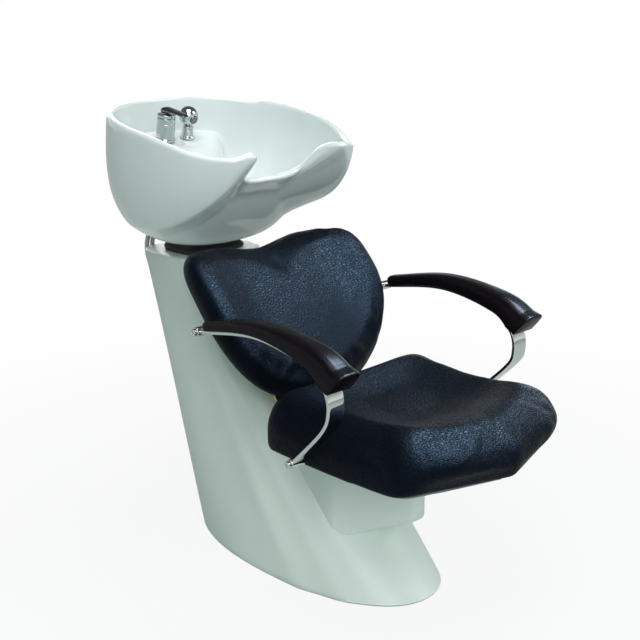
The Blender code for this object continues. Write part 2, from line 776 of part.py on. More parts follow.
def console_form(name, inset, roof):
    """A keel: its plan narrows to the nose and its bottom climbs from the column to the nose."""
    (root, wide), (nose, narrow) = console_plan(inset)
    inside = sum(base_sides(CONSOLE_FOOT_Z)[:2]) / 2
    foot = CONSOLE_FOOT_Z + inset
    stations = ((inside, wide, foot), (root, wide, foot),
                (CONSOLE_CHIN_Y + inset / 2, None, CONSOLE_CHIN_Z + inset),
                (nose, narrow, CONSOLE_LIP_Z + inset))
    rings = []
    for y, half, low in stations:
        if half is None:
            half = wide + (narrow - wide) * (root - y) / (root - nose)
        rings.append([(-half, y, low), (half, y, low), (half, y, roof), (-half, y, roof)])
    return loft(name, rings)


def make_console(shell, white):
    roof = SEAT_BOARD_BOTTOM - SEAT_GAP
    console = add_object("seat_console", console_form("seat_console", 0, roof), white)
    soften = console.modifiers.new("Bevel", "BEVEL")
    soften.width = CONSOLE_ROUND
    soften.segments = 3
    soften.limit_method = "ANGLE"
    inside = console_form("console_inside", CONSOLE_WALL, roof + 0.02)
    cut(console, add_object("console_inside", inside))
    cut(console, add_object("console_seat", base_block("console_seat", -SEAT_GAP)))


# Back, in a leaning frame: X across, Z up along the pad, Y to the rear


def back_outline(inset, sides=BACK_SIDES):
    """Face of the back: an oval foot, two round shoulders and a dip between them."""
    upper = BACK_HEIGHT - BACK_WIDEST - inset
    lower = BACK_WIDEST - inset
    half = BACK_WIDTH / 2 - inset
    angle = np.linspace(0, 2 * math.pi, sides, endpoint=False)
    c, s = np.cos(angle), np.sin(angle)
    power = np.where(s > 0, BACK_UPPER_POWER, BACK_LOWER_POWER)
    x = half * np.sign(c) * np.abs(c) ** (2 / power)
    z = np.where(s > 0, upper, lower) * np.sign(s) * np.abs(s) ** (2 / power)
    ahead = np.clip(z / upper, 0, 1)
    z = z - BACK_DIP * np.exp(-(x / BACK_DIP_WIDTH) ** 2) * ahead ** 2
    return x, z + BACK_WIDEST


def back_wrap(x):
    """How far the pad comes forward at its sides, past the flat middle."""
    past = np.maximum(np.abs(x) - BACK_FLAT_WIDTH / 2, 0)
    return -BACK_WRAP * (past / ((BACK_WIDTH - BACK_FLAT_WIDTH) / 2)) ** 2


def back_ring(inset, depth, scale=1.0):
    """One ring of the back at a depth, its outline drawn in and then scaled to its middle."""
    x, z = back_outline(inset)
    x = x * scale
    z = BACK_WIDEST + (z - BACK_WIDEST) * scale
    return np.column_stack([x, depth + back_wrap(x), z])


def make_back(board_finish, leather, zinc, steel, frame, shell):
    rear = BACK_CUSHION_DEPTH
    flat = BACK_FLAT_WIDTH / (BACK_WIDTH - 2 * BACK_BOARD_INSET) - SEAT_GAP
    scales = [1.0, 0.82, 0.60, flat]
    front_rows = ((0.97, 0.73), (1.0, 0.55), (1.0, flat))
    rings = [back_ring(BACK_BOARD_INSET, -BACK_CROWN * share, scale)
             for share, scale in reversed(front_rows)]
    edge_rows = ((0.045, 0.85), (0.022, 0.55))
    rings += [back_ring(inset, -BACK_CROWN * share) for inset, share in edge_rows]
    side_rows = ((0.007, 0.10), (0.001, 0.30), (0.0, 0.52), (0.003, 0.78), (BACK_EDGE_DRAW, 1.0))
    rings += [back_ring(inset, rear * share) for inset, share in side_rows]
    rings += [back_ring(BACK_BOARD_INSET, rear, scale) for scale in scales]
    cushion = add_object("back_cushion", loft("back_cushion", rings), leather, frame)

    board_front = rear + 2 * SEAT_GAP
    board_rear = board_front + BACK_BOARD_THICKNESS
    rings = [back_ring(BACK_BOARD_INSET, board_front, scale) for scale in reversed(scales)]
    rings += [back_ring(BACK_BOARD_INSET, board_rear, scale) for scale in scales]
    board = add_object("back_board", loft("back_board", rings), board_finish, frame)

    plate_front = board_rear + SEAT_GAP
    plate_rear = plate_front + BACK_PLATE_THICKNESS
    half = BACK_PLATE_WIDTH / 2
    plate = slab("back_plate", (-half, plate_front, BACK_PLATE_FOOT),
                 (half, plate_rear, BACK_PLATE_FOOT + BACK_PLATE_HEIGHT))
    add_object("back_plate", plate, zinc, frame)
    make_back_struts(plate_rear, zinc, shell)
    return cushion, board


def back_point(depth, height):
    """World Y and Z of a point of the back's leaning frame."""
    c, s = math.cos(BACK_LEAN), math.sin(BACK_LEAN)
    return BACK_FOOT_Y + depth * c + height * s, BACK_FOOT_Z - depth * s + height * c


def strut_outline(depth, grow):
    """Side outline of a strut: it starts square on the back plate and ends on its mast."""
    low = BACK_PLATE_FOOT + STRUT_RISE
    high = low + STRUT_HEIGHT
    foot = back_point(depth + SEAT_GAP, low - grow)
    head = back_point(depth + SEAT_GAP, high + grow)
    end = mast_y(foot[1])
    return [foot, (end, foot[1]), (end, head[1]), head]


def make_back_struts(depth, zinc, shell):
    """Two flat bars from the inner sides of the masts, through the shell, to the back plate."""
    for side, name in ((-1, "back_strut_right"), (1, "back_strut_left")):
        place = (side * rail_x(), 0, 0)
        bar = extruded(name, strut_outline(depth, 0), RAIL_WIDTH / 2)
        add_object(name, bar, zinc, place=place)
        slot = extruded(f"{name}_slot", strut_outline(depth, SEAT_GAP), RAIL_WIDTH / 2 + SEAT_GAP)
        cut(shell, add_object(f"{name}_slot", slot, place=place))


# Arms


def arm_knots():
    """(Y, Z) knots of the bar's middle line, from the rear eye round to the seat."""
    return [(ARM_EYE_Y, ARM_EYE_Z), (ARM_TOP_Y, ARM_TOP_Z), (ARM_SHOULDER_Y, ARM_SHOULDER_Z),
            (ARM_BEND_Y, ARM_BEND_Z), (ARM_FRONT_Y, ARM_FRONT_Z), (ARM_KNEE_Y, ARM_KNEE_Z),
            (ARM_FOOT_Y, ARM_FOOT_Z)]


def path_normals(path):
    """Unit normals of a (Y, Z) path, on its left hand side going along it."""
    along = np.gradient(path, axis=0)
    along /= np.linalg.norm(along, axis=1)[:, None]
    return np.column_stack([along[:, 1], -along[:, 0]])


def arm_path():
    return smooth_path(arm_knots(), PATH_POINTS)


def make_arm_bar(name, side, chrome):
    """A flat bar carried round the arm's path, with a bush welded at each end."""
    path = arm_path()
    normal = path_normals(path)
    share = np.linspace(0, 1, len(path))
    width = np.interp(share, (0, 0.5, 0.75, 1), (ARM_BAR_REAR_WIDTH, ARM_BAR_FRONT_WIDTH,
                                                 ARM_BAR_FRONT_WIDTH, ARM_BAR_FOOT_WIDTH))
    middle = side * (ARM_SPREAD / 2 - ARM_FOOT_IN * (1 - fade(share, 0.75, 1.0)))
    rings = []
    for point, lift, broad, x in zip(path, normal, width, middle):
        up = lift * ARM_BAR_THICKNESS / 2
        rings.append([(x - broad / 2, *(point - up)), (x + broad / 2, *(point - up)),
                      (x + broad / 2, *(point + up)), (x - broad / 2, *(point + up))])
    bar = add_object(name, loft(name, rings), chrome)
    quarter_turn = (0, math.pi / 2, 0)
    ends = (("eye", middle[0], *arm_knots()[0]), ("foot", middle[-1], *arm_knots()[-1]))
    for end, x, y, z in ends:
        place = (x, y, z)
        half = ARM_BUSH_LENGTH / 2
        bush = turned(name, [(ARM_BUSH_RADIUS, -half), (ARM_BUSH_RADIUS, half)])
        join(bar, add_object(f"{name}_{end}_bush", bush, place=place, turn=quarter_turn))
        bore = ARM_BOLT_RADIUS + SEAT_GAP
        drill = turned(name, [(bore, -ARM_BUSH_LENGTH), (bore, ARM_BUSH_LENGTH)], FASTENER_SIDES)
        cut(bar, add_object(f"{name}_{end}_bore", drill, place=place, turn=quarter_turn))


def make_arm_pad(name, side, material):
    """A tapered pad on the bar's upper run, thin at the back and broad at the nose."""
    path = arm_path()
    stop = int(round(ARM_PAD_END * (len(path) - 1))) + 1
    points = path[1:stop]
    lift = path_normals(path)[1:stop]
    share = np.linspace(0, 1, len(points))
    width = ARM_PAD_REAR_WIDTH + (ARM_PAD_FRONT_WIDTH - ARM_PAD_REAR_WIDTH) * share
    height = ARM_PAD_REAR_HEIGHT + (ARM_PAD_FRONT_HEIGHT - ARM_PAD_REAR_HEIGHT) * share ** 1.3
    ease = np.clip(np.minimum(share, 1 - share) / 0.07, 0, 1) ** 0.5
    angle = np.linspace(0, math.pi, PAD_SIDES)
    x = side * ARM_SPREAD / 2
    gap = ARM_BAR_THICKNESS / 2 + SEAT_GAP
    rings = []
    for point, up, broad, tall, full in zip(points, lift, width, height, ease):
        base = point + up * gap
        lean = min(math.atan2(-up[0], up[1]), ARM_PAD_FACE)
        stand = np.array([-math.sin(lean), math.cos(lean)])
        across = np.cos(angle) * broad / 2 * (0.85 + 0.15 * full)
        rise = np.sin(angle) ** 0.7 * tall * (0.85 + 0.15 * full)
        rings.append([(x + a, *(base + stand * r)) for a, r in zip(across, rise)])
    rings.insert(-1, [(a, b - ARM_PAD_NOSE * 0.7, c) for a, b, c in rings[-2]])
    rings[-1] = [(a, b - ARM_PAD_NOSE, c) for a, b, c in rings[-1]]
    return add_object(name, loft(name, rings), material)


def make_arm_bolt(name, side, middle, y, z, inner, chrome, hosts):
    """A socket bolt along X, from outside the bush into the frame of the seat or back."""
    start = middle + ARM_BUSH_LENGTH / 2 + SEAT_GAP
    reach = inner - ARM_BOLT_GRIP
    profile = [(ARM_BOLT_RADIUS, reach), (ARM_BOLT_RADIUS, start),
               (ARM_BOLT_HEAD_RADIUS, start), (ARM_BOLT_HEAD_RADIUS, start + ARM_BOLT_HEAD)]
    turn = (0, side * math.pi / 2, 0)
    add_object(name, turned(name, profile, FASTENER_SIDES), chrome, place=(0, y, z), turn=turn)
    bore = ARM_BOLT_RADIUS + SEAT_GAP
    drill = turned(name, [(bore, reach - SEAT_GAP), (bore, start)], FASTENER_SIDES)
    guide = add_object(f"{name}_hole", drill, place=(0, y, z), turn=turn)
    for host in hosts:
        cut(host, guide)


def make_arms(chrome, pad_finish, leather_back, back_board, seat_board, frame):
    c, s = math.cos(BACK_LEAN), math.sin(BACK_LEAN)
    depth = (ARM_EYE_Y - BACK_FOOT_Y) * c - (ARM_EYE_Z - BACK_FOOT_Z) * s
    height = (ARM_EYE_Y - BACK_FOOT_Y) * s + (ARM_EYE_Z - BACK_FOOT_Z) * c
    x, z = back_outline(BACK_BOARD_INSET, 720)
    anchor_x = float(x[np.argmin(np.abs(z - height) + (x < 0))])
    half = ARM_ANCHOR_SIZE / 2
    rear = BACK_CUSHION_DEPTH + BACK_BOARD_THICKNESS / 2 + back_wrap(anchor_x - 2 * half)
    for side, hand in ((-1, "right"), (1, "left")):
        make_arm_bar(f"arm_bar_{hand}", side, chrome)
        make_arm_pad(f"arm_pad_{hand}", side, pad_finish)
        inner, outer = sorted((side * (anchor_x - 2 * half), side * anchor_x))
        block = slab(f"anchor_{hand}", (inner, depth - half, height - half),
                     (outer, rear, height + half))
        join(back_board, add_object(f"anchor_{hand}", block, parent=frame))
        gap = SEAT_GAP
        far = side * BACK_WIDTH
        low, high = sorted((side * (anchor_x - 2 * half - gap), far))
        room = slab(f"anchor_room_{hand}", (low, depth - half - gap, height - half - gap),
                    (high, rear + BACK_BOARD_THICKNESS, height + half + gap))
        cut(leather_back, add_object(f"anchor_room_{hand}", room, parent=frame))
        make_arm_bolt(f"arm_bolt_rear_{hand}", side, ARM_SPREAD / 2, ARM_EYE_Y, ARM_EYE_Z,
                      anchor_x, chrome, [back_board])
        make_arm_bolt(f"arm_bolt_front_{hand}", side, ARM_SPREAD / 2 - ARM_FOOT_IN, ARM_FOOT_Y,
                      ARM_FOOT_Z, SEAT_HALF - SEAT_BOARD_INSET, chrome, [seat_board])


# Tilting hinge


def tilt_ear(name, way, root):
    """A tab round the tilt pin, its round end up or down, and its root at a height from the pin."""
    angle = np.linspace(0, math.pi, FASTENER_SIDES + 1)
    outline = [(TILT_EAR_RADIUS * math.cos(a), way * TILT_EAR_RADIUS * math.sin(a)) for a in angle]
    outline += [(-TILT_EAR_RADIUS, root), (TILT_EAR_RADIUS, root)]
    return extruded(name, outline, TILT_EAR_THICKNESS / 2)


def make_bracket(shell, top_plate, black, steel):
    """A plate on the base with two ears for the tilt pin, held by four bolts."""
    low = BASE_HEIGHT + SEAT_GAP
    high = low + BRACKET_THICKNESS
    half = BRACKET_WIDTH / 2
    plate = slab("tilt_bracket", (-half, BRACKET_FRONT_Y, low), (half, BRACKET_REAR_Y, high))
    bracket = add_object("tilt_bracket", plate, black)
    middle = TILT_EAR_SPREAD / 2 - TILT_EAR_THICKNESS / 2
    for side in (-1, 1):
        ear = tilt_ear(f"bracket_ear_{side}", 1, high - BRACKET_THICKNESS / 2 - TILT_Z)
        join(bracket, add_object(f"bracket_ear_{side}", ear,
                                 place=(side * middle, TILT_Y, TILT_Z)))
    bore = TILT_PIN_RADIUS + SEAT_GAP
    drill = turned("pin_drill", [(bore, -BRACKET_WIDTH), (bore, BRACKET_WIDTH)])
    cut(bracket, add_object("pin_drill", drill, place=(0, TILT_Y, TILT_Z),
                            turn=(0, math.pi / 2, 0)))
    opening = waste_drill("waste_opening", BASE_HEIGHT - 0.05, BASE_HEIGHT + 0.05)
    for host in (bracket, shell, top_plate):
        cut(host, opening)

    foot = BASE_HEIGHT - DECK_THICKNESS - TOP_PLATE_THICKNESS - SEAT_GAP
    profile = [(BRACKET_BOLT_RADIUS, foot), (BRACKET_BOLT_RADIUS, high + SEAT_GAP),
               (BRACKET_BOLT_HEAD_RADIUS, high + SEAT_GAP),
               (BRACKET_BOLT_HEAD_RADIUS, high + SEAT_GAP + BRACKET_BOLT_HEAD)]
    hole = BRACKET_BOLT_RADIUS + SEAT_GAP
    depth = [(hole, foot - 0.01), (hole, high + 0.01)]
    rows = (("front", BRACKET_FRONT_Y + BRACKET_BOLT_EDGE),
            ("rear", BRACKET_REAR_Y - BRACKET_BOLT_EDGE))
    for side, hand in ((-1, "right"), (1, "left")):
        for row, y in rows:
            name = f"bracket_bolt_{row}_{hand}"
            place = (side * (half - BRACKET_BOLT_EDGE), y, 0)
            add_object(name, turned(name, profile, FASTENER_SIDES), steel, place=place)
            drill = add_object(f"{name}_hole", turned(name, depth, FASTENER_SIDES), place=place)
            for host in (bracket, shell, top_plate):
                cut(host, drill)


def cradle_inner():
    """Outer face of the cradle's ears, which run inside the bracket's ears and washers."""
    return TILT_EAR_SPREAD / 2 - TILT_EAR_THICKNESS - TILT_WASHER - 2 * SEAT_GAP


def make_tilt_pin(steel):
    start = TILT_EAR_SPREAD / 2 + SEAT_GAP
    turn = (0, math.pi / 2, 0)
    place = (0, TILT_Y, TILT_Z)
    thread = start + TILT_PIN_HEAD
    pin = turned("tilt_pin", [(TILT_PIN_HEAD_RADIUS, -start - TILT_PIN_HEAD),
                              (TILT_PIN_HEAD_RADIUS, -start), (TILT_PIN_RADIUS, -start),
                              (TILT_PIN_RADIUS, thread)])
    add_object("tilt_pin", pin, steel, place=place, turn=turn)
    bore = TILT_PIN_RADIUS + SEAT_GAP
    nut = hollow("tilt_nut", TILT_PIN_HEAD_RADIUS, bore, start, thread, 6)
    add_object("tilt_nut", nut, steel, place=place, turn=turn)
    near = cradle_inner() + SEAT_GAP
    for side, hand in ((-1, "right"), (1, "left")):
        name = f"tilt_washer_{hand}"
        low, high = sorted((side * near, side * (near + TILT_WASHER)))
        add_object(name, hollow(name, TILT_EAR_RADIUS, bore, low, high), steel,
                   place=place, turn=turn)


def make_boot(black):
    """A soft sleeve from the base up to the sloping underside of the bowl."""
    middle = (BOOT_FRONT_Y + BOOT_REAR_Y) / 2
    half_length = (BOOT_REAR_Y - BOOT_FRONT_Y) / 2

    def ring(share, inset):
        x, y = superellipse(BOOT_WIDTH / 2 - inset, half_length - inset, half_length - inset,
                            BOOT_POWER, TURNED_SIDES + 8)
        y = y + middle
        roof = TILT_Z + (y - TILT_Y) * math.tan(TILT_REST)
        roof = roof + (BOWL_BOTTOM_HEIGHT - SEAT_GAP) / math.cos(TILT_REST)
        foot = BASE_HEIGHT + SEAT_GAP
        return np.column_stack([x, y, foot + (roof - foot) * share])

    waist = BOOT_WAIST
    outside = ((0.0, 0.0), (0.35, waist * 0.2), (0.55, waist), (0.75, waist * 0.6), (1.0, waist))
    rings = [ring(share, inset) for share, inset in outside]
    rings += [ring(share, inset + BOOT_WALL) for share, inset in reversed(outside)]
    add_object("tilt_boot", loft("tilt_boot", rings, closed=True), black)


def make_cradle(frame, black, rubber):
    """The moving plate under the bowl, with two ears down to the pin, and its rubber pad."""
    pad_top = BOWL_BOTTOM_HEIGHT - SEAT_GAP
    pad_low = pad_top - CRADLE_PAD_THICKNESS
    top = pad_low - SEAT_GAP
    low = top - CRADLE_THICKNESS
    half = cradle_inner()
    front = CRADLE_REAR - CRADLE_LENGTH
    edge = half - TILT_EAR_THICKNESS / 4
    cradle = add_object("tilt_cradle", slab("tilt_cradle", (-edge, front, low),
                                            (edge, CRADLE_REAR, top)), black, frame)
    for side in (-1, 1):
        ear = tilt_ear(f"cradle_ear_{side}", -1, low + CRADLE_THICKNESS / 2)
        join(cradle, add_object(f"cradle_ear_{side}", ear, parent=frame,
                                place=(side * (half - TILT_EAR_THICKNESS / 2), 0, 0)))
    bore = TILT_PIN_RADIUS + SEAT_GAP
    drill = turned("cradle_bore", [(bore, -half * 2), (bore, half * 2)])
    cut(cradle, add_object("cradle_bore", drill, parent=frame, turn=(0, math.pi / 2, 0)))
    pad = add_object("cradle_pad", slab("cradle_pad", (-half, front, pad_low),
                                        (half, CRADLE_REAR, pad_top)), rubber, frame)
    hole = WASTE_TAIL_RADIUS + SEAT_GAP
    waste = turned("waste_hole", [(hole, 0), (hole, BOWL_BOTTOM_HEIGHT + 2 * BOWL_WALL)])
    waste_hole = add_object("waste_hole", waste, parent=frame, place=(0, WASTE_Y, 0))
    cut(cradle, waste_hole)
    cut(pad, waste_hole)
    return waste_hole, low


# Bowl


def bowl_angles():
    """Plan angles round the bowl from the neck, closer together at the horns."""
    half = np.concatenate([
        np.linspace(0, NECK_FLAT_ANGLE, 4, endpoint=False),
        np.linspace(NECK_FLAT_ANGLE, HORN_TIP_ANGLE, 7, endpoint=False),
        np.linspace(HORN_TIP_ANGLE, math.pi, 17)])
    return np.concatenate([half, -half[-2:0:-1]])


def bowl_rim(angle):
    """Radius and height of the rim: an oval with two horns and a neck rest between them."""
    turn = np.abs(angle)
    c, s = np.cos(turn), np.sin(turn)
    reach = np.where(c > 0, BOWL_HORN_REACH, BOWL_REAR_REACH)
    power = np.where(c > 0, BOWL_FRONT_POWER, BOWL_REAR_POWER)
    oval = (np.abs(2 * s / BOWL_WIDTH) ** power + np.abs(c / reach) ** power) ** (-1 / power)
    ahead = np.maximum(c, math.cos(HORN_TIP_ANGLE))
    neck = (NECK_REACH + NECK_FLARE * (1 / ahead ** 2 - 1)) / ahead
    radius = oval - (oval - neck) * fade(turn, HORN_INNER_ANGLE, HORN_TIP_ANGLE)
    height = BOWL_RIM_HEIGHT - NECK_DROP * fade(turn, NECK_FLAT_ANGLE, NECK_LIP_ANGLE)
    wing = np.exp(-((turn - WING_SAG_ANGLE) / WING_SAG_SPREAD) ** 2)
    rear = 1 - fade(turn, HULL_TURN_ANGLE, math.pi)
    return radius, height - WING_SAG * wing - REAR_SAG * rear


def bowl_hull(angle, slope):
    """Outer skin. Slope runs from 0, upright at the rim, to a quarter turn, flat at the foot.

    The wall follows a superellipse from the rim to the oval foot, blunter to the rear. Under the
    edge of the wings, which sinks from the horns towards the rear, the skin is drawn in.
    """
    radius, height = bowl_rim(angle)
    turn = np.abs(angle)
    power = HULL_FRONT_POWER + (HULL_REAR_POWER - HULL_FRONT_POWER) * (
        1 - fade(turn, 0, HULL_TURN_ANGLE))
    keep = math.cos(slope) ** (2 / power)
    fall = math.sin(slope) ** (2 / power)
    rim_x = radius * np.sin(angle)
    rim_y = BOWL_CENTRE - radius * np.cos(angle)
    foot_x = BOWL_BOTTOM_HALF_WIDTH * np.sin(angle)
    foot_y = BOWL_BOTTOM_Y - BOWL_BOTTOM_HALF_LENGTH * np.cos(angle)
    past = np.maximum(turn - HORN_TIP_ANGLE, 0) / WING_FALL_ANGLE
    edge = WING_END_DEPTH + (WING_START_DEPTH - WING_END_DEPTH) * np.exp(-past)
    under = 1 - fade(fall, edge, edge + WING_EDGE)
    draw = SCOOP_DEPTH * under * fade(turn, SCOOP_FRONT_ANGLE, SCOOP_END_ANGLE)
    draw = draw * fade(fall, 0.74, 1.0)
    x = foot_x + (rim_x - foot_x) * keep - draw * np.sin(angle)
    y = foot_y + (rim_y - foot_y) * keep + draw * np.cos(angle)
    z = height - (height - BOWL_BOTTOM_HEIGHT) * fall
    return np.column_stack([x, y, z])


def bowl_inside(angle, slope):
    """Inner skin: the hull moved in by the wall, with the tap deck standing at the rear."""
    ring = bowl_hull(angle, slope)
    ring[:, 0] -= BOWL_WALL * np.sin(angle)
    ring[:, 1] += BOWL_WALL * np.cos(angle)
    ring[:, 2] += BOWL_WALL * math.sin(slope)
    edge = DECK_FRONT + DECK_FRONT_CURVE * ring[:, 0] ** 2
    deck = DECK_LEVEL - DECK_SLOPE * np.maximum(edge - ring[:, 1], 0)
    ring[:, 2] = np.maximum(ring[:, 2], deck)
    return ring


def bowl_lip(angle, turn):
    """Half round lip between the outer and the inner skin at the rim."""
    ring = bowl_hull(angle, 0.0)
    middle = BOWL_WALL / 2 * (1 - math.cos(turn))
    ring[:, 0] -= middle * np.sin(angle)
    ring[:, 1] += middle * np.cos(angle)
    ring[:, 2] += BOWL_WALL / 2 * math.sin(turn)
    return ring


def make_bowl(frame, ceramic, waste_hole):
    angle = bowl_angles()
    slopes = np.linspace(0, math.pi / 2, HULL_ROWS)
    rings = [bowl_hull(angle, slope) for slope in slopes[::-1]]
    rings += [bowl_lip(angle, turn) for turn in (math.pi * 0.25, math.pi * 0.5, math.pi * 0.75)]
    rings += [bowl_inside(angle, slope) for slope in slopes]
    bowl = add_object("bowl", loft("bowl", rings), ceramic, frame)
    half = POCKET_WIDTH / 2
    pocket = slab("plumbing_pocket", (-half, POCKET_FRONT, -0.05),
                  (half, POCKET_REAR, DECK_LEVEL - POCKET_ROOF))
    cut(bowl, add_object("plumbing_pocket", pocket, parent=frame))
    cut(bowl, waste_hole)
    for side, radius in ((-1, MIXER_SHANK_RADIUS), (1, GUIDE_SHANK_RADIUS)):
        hole = radius + SEAT_GAP
        name = f"tap_hole_{side}"
        drill = turned(name, [(hole, DECK_LEVEL - 2 * POCKET_ROOF), (hole, DECK_LEVEL + 0.01)])
        cut(bowl, add_object(name, drill, parent=frame, place=(side * TAP_X, TAP_Y, 0)))
    return bowl


def make_waste(frame, cradle_low, chrome, rubber, plastic):
    place = (0, WASTE_Y, 0)
    floor = BOWL_BOTTOM_HEIGHT + BOWL_WALL + SEAT_GAP
    gasket_top = floor + WASTE_GASKET
    hole = WASTE_TAIL_RADIUS + SEAT_GAP
    gasket = hollow("waste_gasket", WASTE_FLANGE_RADIUS, hole, floor, gasket_top)
    add_object("waste_gasket", gasket, rubber, frame, place)
    low = gasket_top + SEAT_GAP
    high = low + WASTE_FLANGE
    tail_foot = floor - WASTE_TAIL_LENGTH
    sill = low - WASTE_FLANGE
    profile = [(WASTE_TAIL_RADIUS, tail_foot), (WASTE_TAIL_RADIUS, low),
               (WASTE_FLANGE_RADIUS, low), (WASTE_FLANGE_RADIUS * 0.92, high),
               (WASTE_TAIL_RADIUS, low + WASTE_FLANGE * 0.45),
               (WASTE_BORE_RADIUS, sill), (WASTE_BORE_RADIUS, tail_foot)]
    strainer = turned("waste_strainer", profile, closed=True)
    drain = add_object("waste_strainer", strainer, chrome, frame, place)
    grate = turned("strainer_grate", [(WASTE_TAIL_RADIUS - 0.001, sill - WASTE_FLANGE),
                                      (WASTE_TAIL_RADIUS - 0.001, sill)])
    join(drain, add_object("strainer_grate", grate, parent=frame, place=place))
    for slot in range(STRAINER_SLOTS):
        angle = 2 * math.pi * slot / STRAINER_SLOTS
        spot = (STRAINER_SLOT_CIRCLE * math.cos(angle),
                WASTE_Y + STRAINER_SLOT_CIRCLE * math.sin(angle), 0)
        drill = turned("strainer_slot", [(STRAINER_SLOT_RADIUS, sill - 0.02),
                                         (STRAINER_SLOT_RADIUS, sill + 0.02)], 8)
        cut(drain, add_object(f"strainer_slot_{slot}", drill, parent=frame, place=spot))
    nut_top = cradle_low - SEAT_GAP
    nut = hollow("waste_nut", WASTE_NUT_RADIUS, hole, nut_top - WASTE_NUT, nut_top, 8)
    add_object("waste_nut", nut, plastic, frame, place)


# Taps


def make_mixer(frame, chrome, dark, blue, brass):
    """Lever mixer: fixed body, cartridge, turning cap and a lever that lifts."""
    place = (-TAP_X, TAP_Y, 0)
    deck = DECK_LEVEL + SEAT_GAP
    top = deck + MIXER_HEIGHT
    foot = DECK_LEVEL - MIXER_SHANK_LENGTH
    room = top - CARTRIDGE_HEIGHT
    inside = CARTRIDGE_RADIUS + SEAT_GAP
    profile = [(MIXER_SHANK_RADIUS, foot), (MIXER_SHANK_RADIUS, deck),
               (MIXER_FLANGE_RADIUS, deck), (MIXER_FLANGE_RADIUS, deck + MIXER_FLANGE * 0.6),
               (MIXER_RADIUS, deck + MIXER_FLANGE * 1.4), (MIXER_RADIUS, top),
               (inside, top), (inside, room)]
    add_object("mixer_body", turned("mixer_body", profile), chrome, frame, place)
    stem_top = top + CAP_HEIGHT
    cartridge = [(CARTRIDGE_RADIUS, room + SEAT_GAP), (CARTRIDGE_RADIUS, top - SEAT_GAP),
                 (STEM_RADIUS, top - SEAT_GAP), (STEM_RADIUS, top + CAP_HEIGHT * 0.5)]
    add_object("mixer_cartridge", turned("mixer_cartridge", cartridge), brass, frame, place)
    roof = DECK_LEVEL - POCKET_ROOF - SEAT_GAP
    nut = hollow("mixer_nut", TAP_NUT_RADIUS, MIXER_SHANK_RADIUS + SEAT_GAP, roof - TAP_NUT, roof, 6)
    add_object("mixer_nut", nut, brass, frame, place)

    turn_axis = add_axis("mixer_turn_axis", place, parent=frame)
    low = top + RUNNING_GAP
    bore = STEM_RADIUS + RUNNING_GAP
    shut = top + CAP_HEIGHT * 0.5 + RUNNING_GAP
    cap_profile = [(bore, shut), (bore, low), (MIXER_RADIUS, low),
                   (MIXER_RADIUS, stem_top - CAP_EDGE), (MIXER_RADIUS - CAP_EDGE, stem_top)]
    cap = turned("mixer_cap", cap_profile)
    add_object("mixer_cap", cap, chrome, turn_axis)
    lift_axis = add_axis("mixer_lift_axis", (0, 0, stem_top + LEVER_AXIS_RISE), parent=turn_axis)
    make_lever(lift_axis, dark)
    half = INDEX_DEPTH
    index = turned("mixer_index", [(INDEX_RADIUS, 0), (INDEX_RADIUS, half)], FASTENER_SIDES)
    face = MIXER_RADIUS + SEAT_GAP
    add_object("mixer_index", index, blue, turn_axis, (0, -face, low + CAP_HEIGHT / 2),
               (math.pi / 2, 0, 0))


def make_lever(lift_axis, dark):
    """A round hub that rolls on the cap about the lift axis and carries a paddle forward."""
    hub = LEVER_AXIS_RISE - RUNNING_GAP
    turn = np.array([0.30, 0.75, 1.15, math.pi / 2])
    share = np.linspace(0, 1, 8)[1:]
    thin = fade(share, 0.0, 0.45)
    ends = np.clip((1 - share) / 0.12, 0.35, 1)
    along = np.concatenate([hub * np.cos(turn), -LEVER_LENGTH * share])
    half = np.concatenate([hub * np.sin(turn),
                           ends * (LEVER_THICKNESS / 2 + (hub - LEVER_THICKNESS / 2) * thin)])
    rise = np.concatenate([np.zeros(4), LEVER_RISE * (1 - thin) * (1 - 0.4 * share ** 2)])
    width = LEVER_WIDTH + (LEVER_TIP_WIDTH - LEVER_WIDTH) * share ** 1.5
    width = np.concatenate([LEVER_WIDTH * np.sin(turn) ** 0.5, width * ends ** 0.5])
    angle = np.linspace(0, 2 * math.pi, 12, endpoint=False)
    rings = []
    for y, up, broad, tall in zip(along, rise, width, half):
        rings.append(np.column_stack([np.cos(angle) * broad / 2, np.full(12, y),
                                      up + np.sin(angle) * tall]))
    add_object("mixer_lever", loft("mixer_lever", rings), dark, lift_axis)


